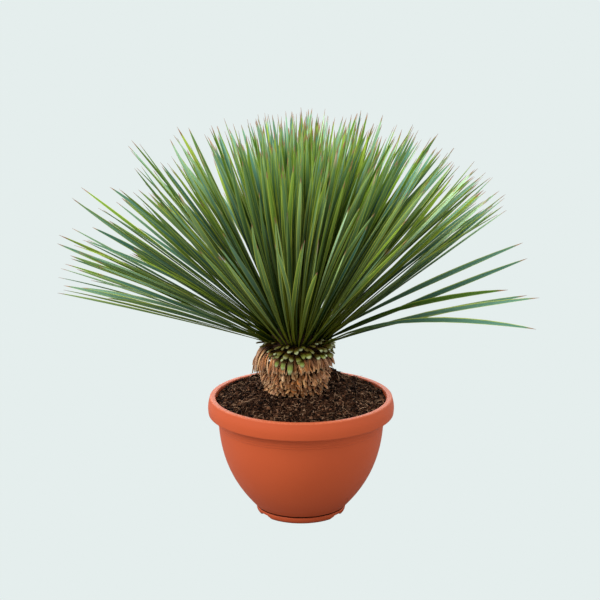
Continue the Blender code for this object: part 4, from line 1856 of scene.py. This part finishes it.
@dataclass
class Crown:
    """The leaves: five storeys of tufts, locks that stand out, and leaves that are listed one by one.

    Of those, ten short ones stand at the front and six lone ones on the right.
    """

    trunk: Trunk
    leaf_length: float = 0.476
    upright_shorter: float = 0.040
    slanted_longer: float = 0.028
    right_longer: float = 0.019
    leaf_width: float = 0.0092
    lowest_root: float = 12.0
    highest_root: float = 87.0
    lowest_rise: float = 29.0
    left_side_lower: float = 8.8
    trimmed_side_higher: float = 13.2
    trimmed_azimuth: float = -20.0
    front_side_higher: float = 5.0
    sag_at_tip: float = 0.034
    azimuth_play: float = 5.0
    rise_play: float = 2.0
    length_play: Range = (0.92, 1.03)
    clump_of: int = 4
    clump_pull: float = 0.52
    thinner_on_left: float = 0.52
    thinner_on_right: float = 0.22
    thinner_in_front: float = 0.60
    thinned_from: Range = (30.0, 36.0)
    thinned_to: Range = (66.0, 56.0)
    shorter_on_left: float = 0.050
    foot_radius: float = 0.0585
    tiers: tuple[Tier, ...] = (
        Tier("lower_leaves", 0.0, 12, 0.0, 0.2, 18),
        Tier("middle_leaves", 0.0, 10, 0.2, 0.4, 20),
        Tier("upper_leaves", 10.0, 8, 0.4, 0.6, 22),
        Tier("inner_leaves", 0.0, 4, 0.6, 0.8, 40),
        Tier("heart_leaves", 0.0, 2, 0.8, 0.97, 36),
    )
    locks: tuple[Lock, ...] = (
        Lock(170.0, 82.0, 4, 8.0, 0.458),
        Lock(176.0, 73.0, 4, 7.0, 0.465),
        Lock(178.0, 63.0, 4, 7.0, 0.485),
        Lock(176.0, 53.5, 4, 5.0, 0.512),
        Lock(178.0, 44.5, 2, 4.0, 0.470),
        Lock(176.0, 36.0, 3, 3.0, 0.528),
        Lock(180.0, 29.0, 3, 5.0, 0.502),
        Lock(180.0, 22.0, 3, 5.0, 0.478),
        Lock(180.0, 16.2, 3, 3.2, 0.474),
        Lock(2.0, 47.5, 3, 6.0, 0.515),
        Lock(0.0, 40.0, 5, 4.0, 0.505),
        Lock(-88.0, 40.0, 3, 4.0, 0.500, 22.0),
        Lock(-7.0, 41.7, 5, 5.0, 0.472, 4.0),
    )
    lone_pairs: tuple[tuple[SetLeaf, SetLeaf], ...] = (
        (SetLeaf(-24.0, 11.3, 0.486, 0.077, 0.05), SetLeaf(-13.0, 16.3, 0.478, 0.014, 0.16)),
        (SetLeaf(-4.0, 15.2, 0.447, 0.017, 0.23), SetLeaf(2.0, 16.1, 0.413, 0.066, 0.63, age=0.45)),
        (SetLeaf(8.0, 20.5, 0.483, 0.022, 0.04), SetLeaf(16.0, 21.5, 0.508, 0.015, 0.14)),
    )
    front_leaves: tuple[SetLeaf, ...] = (
        SetLeaf(-83.5, 42.0, 0.460, 0.012, 0.30, width=0.88, roll=20.0, twist=60.0, age=1.0),
        SetLeaf(-77.0, 38.0, 0.470, 0.016, 0.50, width=0.86, roll=-15.0, twist=110.0),
        SetLeaf(-96.0, 48.0, 0.460, 0.010, 0.40, width=0.82, roll=30.0, twist=-80.0),
        SetLeaf(-100.0, 40.0, 0.465, 0.014, 0.50, width=0.80, roll=-35.0, twist=70.0),
        SetLeaf(-73.0, 50.0, 0.470, 0.010, 0.40, width=0.82, roll=25.0, twist=90.0),
        SetLeaf(-60.0, 39.0, 0.480, 0.018, 0.70, width=0.80, roll=-25.0, twist=-60.0),
        SetLeaf(-56.0, 45.0, 0.470, 0.014, 0.80, width=0.74, roll=35.0, twist=50.0, age=0.6),
        SetLeaf(-88.0, 40.0, 0.470, 0.016, 0.60, width=0.84, roll=40.0, twist=-50.0),
        SetLeaf(-108.0, 36.0, 0.475, 0.018, 0.41, width=0.88, roll=15.0, twist=60.0),
        SetLeaf(-66.0, 37.0, 0.475, 0.020, 0.50, width=0.86, roll=-40.0, twist=80.0),
    )
    lone_root: float = 6.0
    lone_arc: float = 43.0
    front_root: float = 16.0
    roll_play: Range = (10.0, 74.0)
    twist_play: float = 38.0
    width_play: Range = (0.72, 1.25)
    yellow_leaves: Range = (0.24, 0.38)
    yellow_tones: Range = (0.52, 1.0)
    blue_tones: Range = (0.0, 0.48)
    old_leaves: float = 0.07
    old_ages: Range = (0.2, 1.0)
    steeper_in_front: float = 0.62
    falloff: float = 1.5
    sag_play: Range = (0.3, 1.25)
    lock_play: Range = (0.97, 1.01)
    lock_seed: int = 11
    tuft_seed: int = 7
    bow_seed: int = 500
    lone_bow_seed: int = 700
    shape: StripShape = StripShape(
        "blades",
        sides=4,
        segments=12,
        thickness=0.0016,
        keel=0.42,
        bow=0.016,
        crowding=1.3,
        profile=(
            (0.0, 0.54),
            (0.06, 0.40),
            (0.28, 0.48),
            (0.50, 0.76),
            (0.65, 1.0),
            (0.79, 0.90),
            (0.90, 0.62),
            (0.96, 0.35),
            (0.985, 0.17),
            (1.0, 0.03),
        ),
    )

    def base_rise(self, azimuth: float) -> float:
        """The rise of the lowest leaves: least on the left, most where the right side was trimmed.

        Args:
            azimuth: The azimuth, in degrees.

        Returns:
            The rise, in degrees.
        """
        lowest = self.lowest_rise - self.left_side_lower * facing(azimuth, LEFT) ** self.falloff
        lowest += self.trimmed_side_higher * facing(azimuth, self.trimmed_azimuth) ** 2
        return lowest + self.front_side_higher * facing(azimuth, FRONT) ** self.falloff

    @staticmethod
    def in_reach(root: Vector, tip: Vector) -> Vector:
        """A tip moved back along its leaf until it lies inside the frame's box.

        Args:
            root: The leaf's root.
            tip: Its tip.

        Returns:
            The tip inside the box.
        """
        way = tip - root
        share = 1.0
        for axis in range(3):
            limit = CAD_BOX[1][axis] if way[axis] > 0 else CAD_BOX[0][axis]
            if (tip[axis] - limit) * way[axis] > 0:
                share = min(share, (limit - root[axis]) / way[axis])
        return root + way * share

    def _blade(self, root: Vector, bend: Vector, tip: Vector, azimuth: float, roll: float) -> Strip:
        """A leaf along a root, a bend and a tip, rolled from lying flat across an azimuth.

        Args:
            root: Its root.
            bend: The point that it leaves the root towards.
            tip: Its tip.
            azimuth: The azimuth, in degrees.
            roll: How far it is rolled, in degrees.

        Returns:
            The leaf, flat along its whole length.
        """
        across = polar(1.0, azimuth + 90.0)
        up = (tip - root).normalized().cross(across)
        side = across * math.cos(math.radians(roll)) + up * math.sin(math.radians(roll))
        return Strip(root, bend, tip, side, self.leaf_width)

    def _leaf(
        self, azimuth: float, root_rise: float, rise: float, length: float, sag: float, chance: Random
    ) -> Strip:
        """One leaf from its foot on the growing tip to its needle point.

        Args:
            azimuth: Where it points.
            root_rise: The rise of its foot on the growing tip.
            rise: Its own rise.
            length: Its length.
            sag: How far its tip hangs down.
            chance: The random draws.

        Returns:
            The leaf, without its tone.
        """
        root = self.trunk.centre + direction(azimuth, root_rise) * self.foot_radius
        tip = self.in_reach(root, root + direction(azimuth, rise) * length - Vector((0.0, 0.0, sag)))
        bend = root.lerp(tip, 0.5) + Vector((0.0, 0.0, sag / 2))
        roll = chance.uniform(*self.roll_play) * chance.choice((-1.0, 1.0))
        strip = self._blade(root, bend, tip, azimuth, roll)
        strip.twist = math.radians(chance.gauss(0.0, self.twist_play))
        strip.width *= chance.uniform(*self.width_play)
        return strip

    def _tone(self, share: float, chance: Random) -> float:
        """Blue-green for most leaves, fewer of them towards the heart.

        Args:
            share: How near the heart it grows, from 0 to 1.
            chance: The random draws.

        Returns:
            The tone.
        """
        if chance.random() < blend(*self.yellow_leaves, share):
            return blend(*self.yellow_tones, chance.random() ** self.falloff)
        return chance.uniform(*self.blue_tones)

    def _spots(self, tier: Tier, chance: Random) -> list[Vector]:
        """Where the leaves of a tuft grow on its tile, as shares of the tile, drawn into clumps.

        Args:
            tier: The storey.
            chance: The random draws.

        Returns:
            The places.
        """
        rows = max(2, round(math.sqrt(tier.leaves) * 0.9))
        columns = math.ceil(tier.leaves / rows)
        spots = []
        for leaf in range(tier.leaves):
            column, row = leaf // rows, leaf % rows
            spots.append(Vector(((column + chance.random()) / columns, (row + chance.random()) / rows)))
        centres = chance.sample(spots, max(2, tier.leaves // self.clump_of))
        gathered = []
        for spot in spots:
            nearest = min(centres, key=lambda centre: (centre - spot).length)
            gathered.append(spot.lerp(nearest, self.clump_pull))
        return gathered

    def _thinned(self, azimuth: float, rise: float) -> float:
        """How many of the leaves are missing at an azimuth and a rise, as a share.

        Args:
            azimuth: The azimuth, in degrees.
            rise: The rise, in degrees.

        Returns:
            The share.
        """
        slanting = share_between(rise, *self.thinned_from) * share_between(rise, *self.thinned_to)
        thinned = self.thinner_on_left * facing(azimuth, LEFT) ** 2
        thinned += self.thinner_on_right * facing(azimuth, RIGHT) ** 2
        return thinned + self.thinner_in_front * facing(azimuth, FRONT) ** self.falloff * slanting

    def _tuft(self, tier: Tier, number: int, chance: Random) -> list[Strip]:
        """The leaves of one tuft.

        Args:
            tier: The storey.
            number: The tuft's number in it.
            chance: The random draws.

        Returns:
            The leaves.
        """
        strips = []
        for spot in self._spots(tier, chance):
            azimuth = tier.first_azimuth + 360.0 / tier.tufts * (number + spot.x)
            azimuth += chance.uniform(-self.azimuth_play, self.azimuth_play)
            share = blend(tier.low_share, tier.high_share, spot.y)
            root_rise = blend(self.lowest_root, self.highest_root, share)
            climb = share ** blend(1.0, self.steeper_in_front, facing(azimuth, FRONT) ** self.falloff)
            rise = blend(self.base_rise(azimuth), 90.0, climb) + chance.gauss(0.0, self.rise_play)
            rise = max(rise, self.base_rise(azimuth))
            upright = math.sin(math.radians(rise)) ** 2
            slanted = math.sin(math.radians(2 * rise)) ** 2
            length = self.leaf_length - self.upright_shorter * upright
            length += (self.slanted_longer + self.right_longer * facing(azimuth, RIGHT)) * slanted
            shorter = 1.0 - self.shorter_on_left * facing(azimuth, LEFT) ** 2
            length *= chance.uniform(*self.length_play) * shorter
            sag = self.sag_at_tip * (1.0 - upright) * chance.uniform(*self.sag_play)
            strip = self._leaf(azimuth, root_rise, rise, length, sag, chance)
            strip.tone = self._tone(share, chance)
            strip.age = chance.uniform(*self.old_ages) if chance.random() < self.old_leaves else 0.0
            if chance.random() > self._thinned(azimuth, rise):
                strips.append(strip)
        return strips

    def _owner(self, azimuth: float, share: float) -> tuple[str, int]:
        """The tier and the number of the tuft in whose tile a leaf grows."""
        tier = next(tier for tier in self.tiers if share <= tier.high_share or tier is self.tiers[-1])
        return tier.name, int((azimuth - tier.first_azimuth) % 360.0 / (360.0 / tier.tufts))

    def _locks(self, chance: Random) -> dict[tuple[str, int], list[Strip]]:
        """The leaves of every lock and the front leaves, by the tuft that each belongs to.

        Args:
            chance: The random draws.

        Returns:
            The leaves of each tuft, by its tier's name and its number.
        """
        found: dict[tuple[str, int], list[Strip]] = {}
        for lock in self.locks:
            for place in range(lock.leaves):
                across = (place + 0.5) / lock.leaves - 0.5
                rise = lock.rise + lock.spread * across
                azimuth = lock.azimuth + chance.uniform(-lock.fan, lock.fan)
                share = max(0.0, (rise - self.base_rise(azimuth)) / (90.0 - self.base_rise(azimuth)))
                root_rise = blend(self.lowest_root, self.highest_root, share)
                length = lock.length * chance.uniform(*self.lock_play)
                strip = self._leaf(azimuth, root_rise, rise, length, lock.sag, chance)
                strip.tone = self._tone(share, chance)
                found.setdefault(self._owner(azimuth, share), []).append(strip)
        for leaf in self.front_leaves:
            strip = self._set_leaf(leaf, leaf.azimuth, self.front_root)
            found.setdefault(self._owner(leaf.azimuth, 0.0), []).append(strip)
        return found

    def _set_leaf(self, leaf: SetLeaf, root_azimuth: float, root_rise: float) -> Strip:
        """One of the leaves that are listed one by one.

        Args:
            leaf: Its sizes.
            root_azimuth: The azimuth of its foot on the growing tip.
            root_rise: The rise of its foot.

        Returns:
            The leaf.
        """
        root = self.trunk.centre + direction(root_azimuth, root_rise) * self.foot_radius
        tip = self.in_reach(root, root + direction(leaf.azimuth, leaf.rise) * leaf.length)
        bend = root.lerp(tip, leaf.bend_at) + Vector((0.0, 0.0, leaf.arch))
        strip = self._blade(root, bend, tip, leaf.azimuth, leaf.roll)
        strip.width *= leaf.width
        strip.twist = math.radians(leaf.twist)
        strip.tone = leaf.tone
        strip.age = leaf.age
        return strip

    def build(self, finish: bpy.types.Material) -> None:
        """Grows every tuft and the lone leaves, in place of their solids.

        Args:
            finish: The leaves' material.
        """
        tree = StripTree(self.shape)
        locks = self._locks(Random(self.lock_seed))
        chance = Random(self.tuft_seed)
        for tier in self.tiers:
            for number in range(tier.tufts):
                node = f"{tier.name}_{number + 1:02d}"
                name = node.replace("leaves", "blades")
                strips = self._tuft(tier, number, chance) + locks.get((tier.name, number), [])
                put(name, tree.grow(name, strips, self.bow_seed + number, finish), Slot.LEAF, [node])
        arc_width = 2 * self.lone_arc / len(self.lone_pairs)
        for number, pair in enumerate(self.lone_pairs):
            strips = []
            for place, leaf in enumerate(pair):
                azimuth = -self.lone_arc + arc_width * (number + 0.25 + 0.5 * place)
                strips.append(self._set_leaf(leaf, azimuth, self.lone_root))
            node = f"lone_leaves_{number + 1:02d}"
            name = node.replace("leaves", "blades")
            put(name, tree.grow(name, strips, self.lone_bow_seed + number, finish), Slot.LEAF, [node])


# ---------------------------------------------------------------- the studio


@dataclass(frozen=True)
class Lamp:
    """A broad soft light: its strength, its spread, and where it comes from, in degrees."""

    name: str
    strength: float
    spread: float
    azimuth: float
    rise: float

    def build(self) -> None:
        """Hangs the lamp."""
        light = bpy.data.lights.new(self.name, "SUN")
        light.energy = self.strength
        light.angle = math.radians(self.spread)
        lamp = linked(self.name, light)
        towards = direction(self.azimuth, self.rise)
        lamp.rotation_euler = towards.to_track_quat("Z", "Y").to_euler()


@dataclass(frozen=True)
class Studio:
    """A pale floor under an even white sky, two broad soft lights, and the camera."""

    backdrop: Colour = (0.7835, 0.8550, 0.8469)
    sky: float = 1.18
    floor_size: float = 60.0
    floor_bounce: float = 0.27
    # The painted shadow under the bowl fades out between these radii.
    shadow_under_bowl: Range = (0.082, 0.0861)
    camera_place: tuple[float, float, float] = (-0.0022, -3.6, 1.3897)
    camera_pitch: float = 14.303
    lens: float = 104.73
    lamps: tuple[Lamp, ...] = (
        Lamp("key", 1.85, 40.0, -150.0, 40.0),
        Lamp("from_behind", 1.9, 60.0, 100.0, 42.0),
    )

    def _seen_or_lit(self, board: Board, seen: Wire, lit: Wire, output: str) -> None:
        """Shows one shader to the eye, and lets another light the plant.

        Args:
            board: The board of the tree.
            seen: What the eye sees.
            lit: What lights the plant.
            output: The type of the output node.
        """
        by_eye = board.add("ShaderNodeLightPath").named("Is Camera Ray")
        both = board.add("ShaderNodeMixShader", {}, {0: by_eye, 1: lit, 2: seen})
        old = next(node for node in board.tree.nodes if node.bl_idname == output)
        board.tree.links.new(both.socket, old.inputs["Surface"])

    def _floor(self) -> None:
        """A wide pale floor, of the backdrop's colour to the eye, with a painted shadow that makes it black
        under the bowl.
        """
        builder = bmesh.new()
        bmesh.ops.create_grid(builder, x_segments=8, y_segments=8, size=self.floor_size)
        floor = linked("floor", poured(builder, "floor"))
        material = bpy.data.materials.new("floor")
        material.use_nodes = True
        board = Board(material.node_tree)
        place = board.add("ShaderNodeTexCoord").named("Object")
        from_middle = board.vector("LENGTH", place, (0.0, 0.0, 0.0)).named("Value")
        # Painted shadow: the floor shows black under the bowl, through the foot's notches.
        beyond_shadow = from_middle.rising(*self.shadow_under_bowl)
        shade = board.mixed(beyond_shadow, BLACK, self.backdrop)
        seen = board.add("ShaderNodeEmission", {}, {"Color": shade, "Strength": 1.0})
        grey = (self.floor_bounce,) * 3
        lit = board.add("ShaderNodeBsdfDiffuse", {}, {"Color": (*grey, 1.0)})
        self._seen_or_lit(board, seen, lit, "ShaderNodeOutputMaterial")
        floor.data.materials.append(material)

    def _world(self) -> None:
        """The backdrop's colour to the eye, and an even white sky as a light."""
        world = bpy.data.worlds.new("studio")
        bpy.context.scene.world = world
        world.use_nodes = True
        board = Board(world.node_tree)
        seen = board.add("ShaderNodeBackground", {}, {"Color": (*self.backdrop, 1.0)})
        lit = board.add("ShaderNodeBackground", {}, {"Color": (1.0, 1.0, 1.0, 1.0), "Strength": self.sky})
        self._seen_or_lit(board, seen, lit, "ShaderNodeOutputWorld")

    def _camera(self) -> None:
        """The camera, level with the crown and looking slightly down."""
        lens = bpy.data.cameras.new("camera")
        lens.lens = self.lens
        camera = linked("camera", lens)
        camera.location = self.camera_place
        camera.rotation_euler = (math.radians(90.0 - self.camera_pitch), 0.0, 0.0)
        bpy.context.scene.camera = camera

    def build(self) -> None:
        """Sets up the studio."""
        bpy.context.scene.view_settings.view_transform = "Standard"
        self._floor()
        self._world()
        for lamp in self.lamps:
            lamp.build()
        self._camera()


def main() -> None:
    """Builds the plant around its frame."""
    logging.basicConfig(level=logging.INFO, format="%(name)s: %(message)s")
    Studio().build()
    bowl = Bowl()
    bowl.build(TerracottaPlastic().material())
    trunk = Trunk()
    trunk.build(TrunkBark().material())
    soil = Soil(bowl, Vector((trunk.centre.x, trunk.centre.y, 0.0)))
    soil.build(PottingSoil().material(), CRUMBS.material(), THREADS.material())
    LeafBases(trunk).build(DryBase().material(), GreenBase().material())
    Crown(trunk).build(YuccaLeaf().material())


if __name__ == "__main__":
    main()
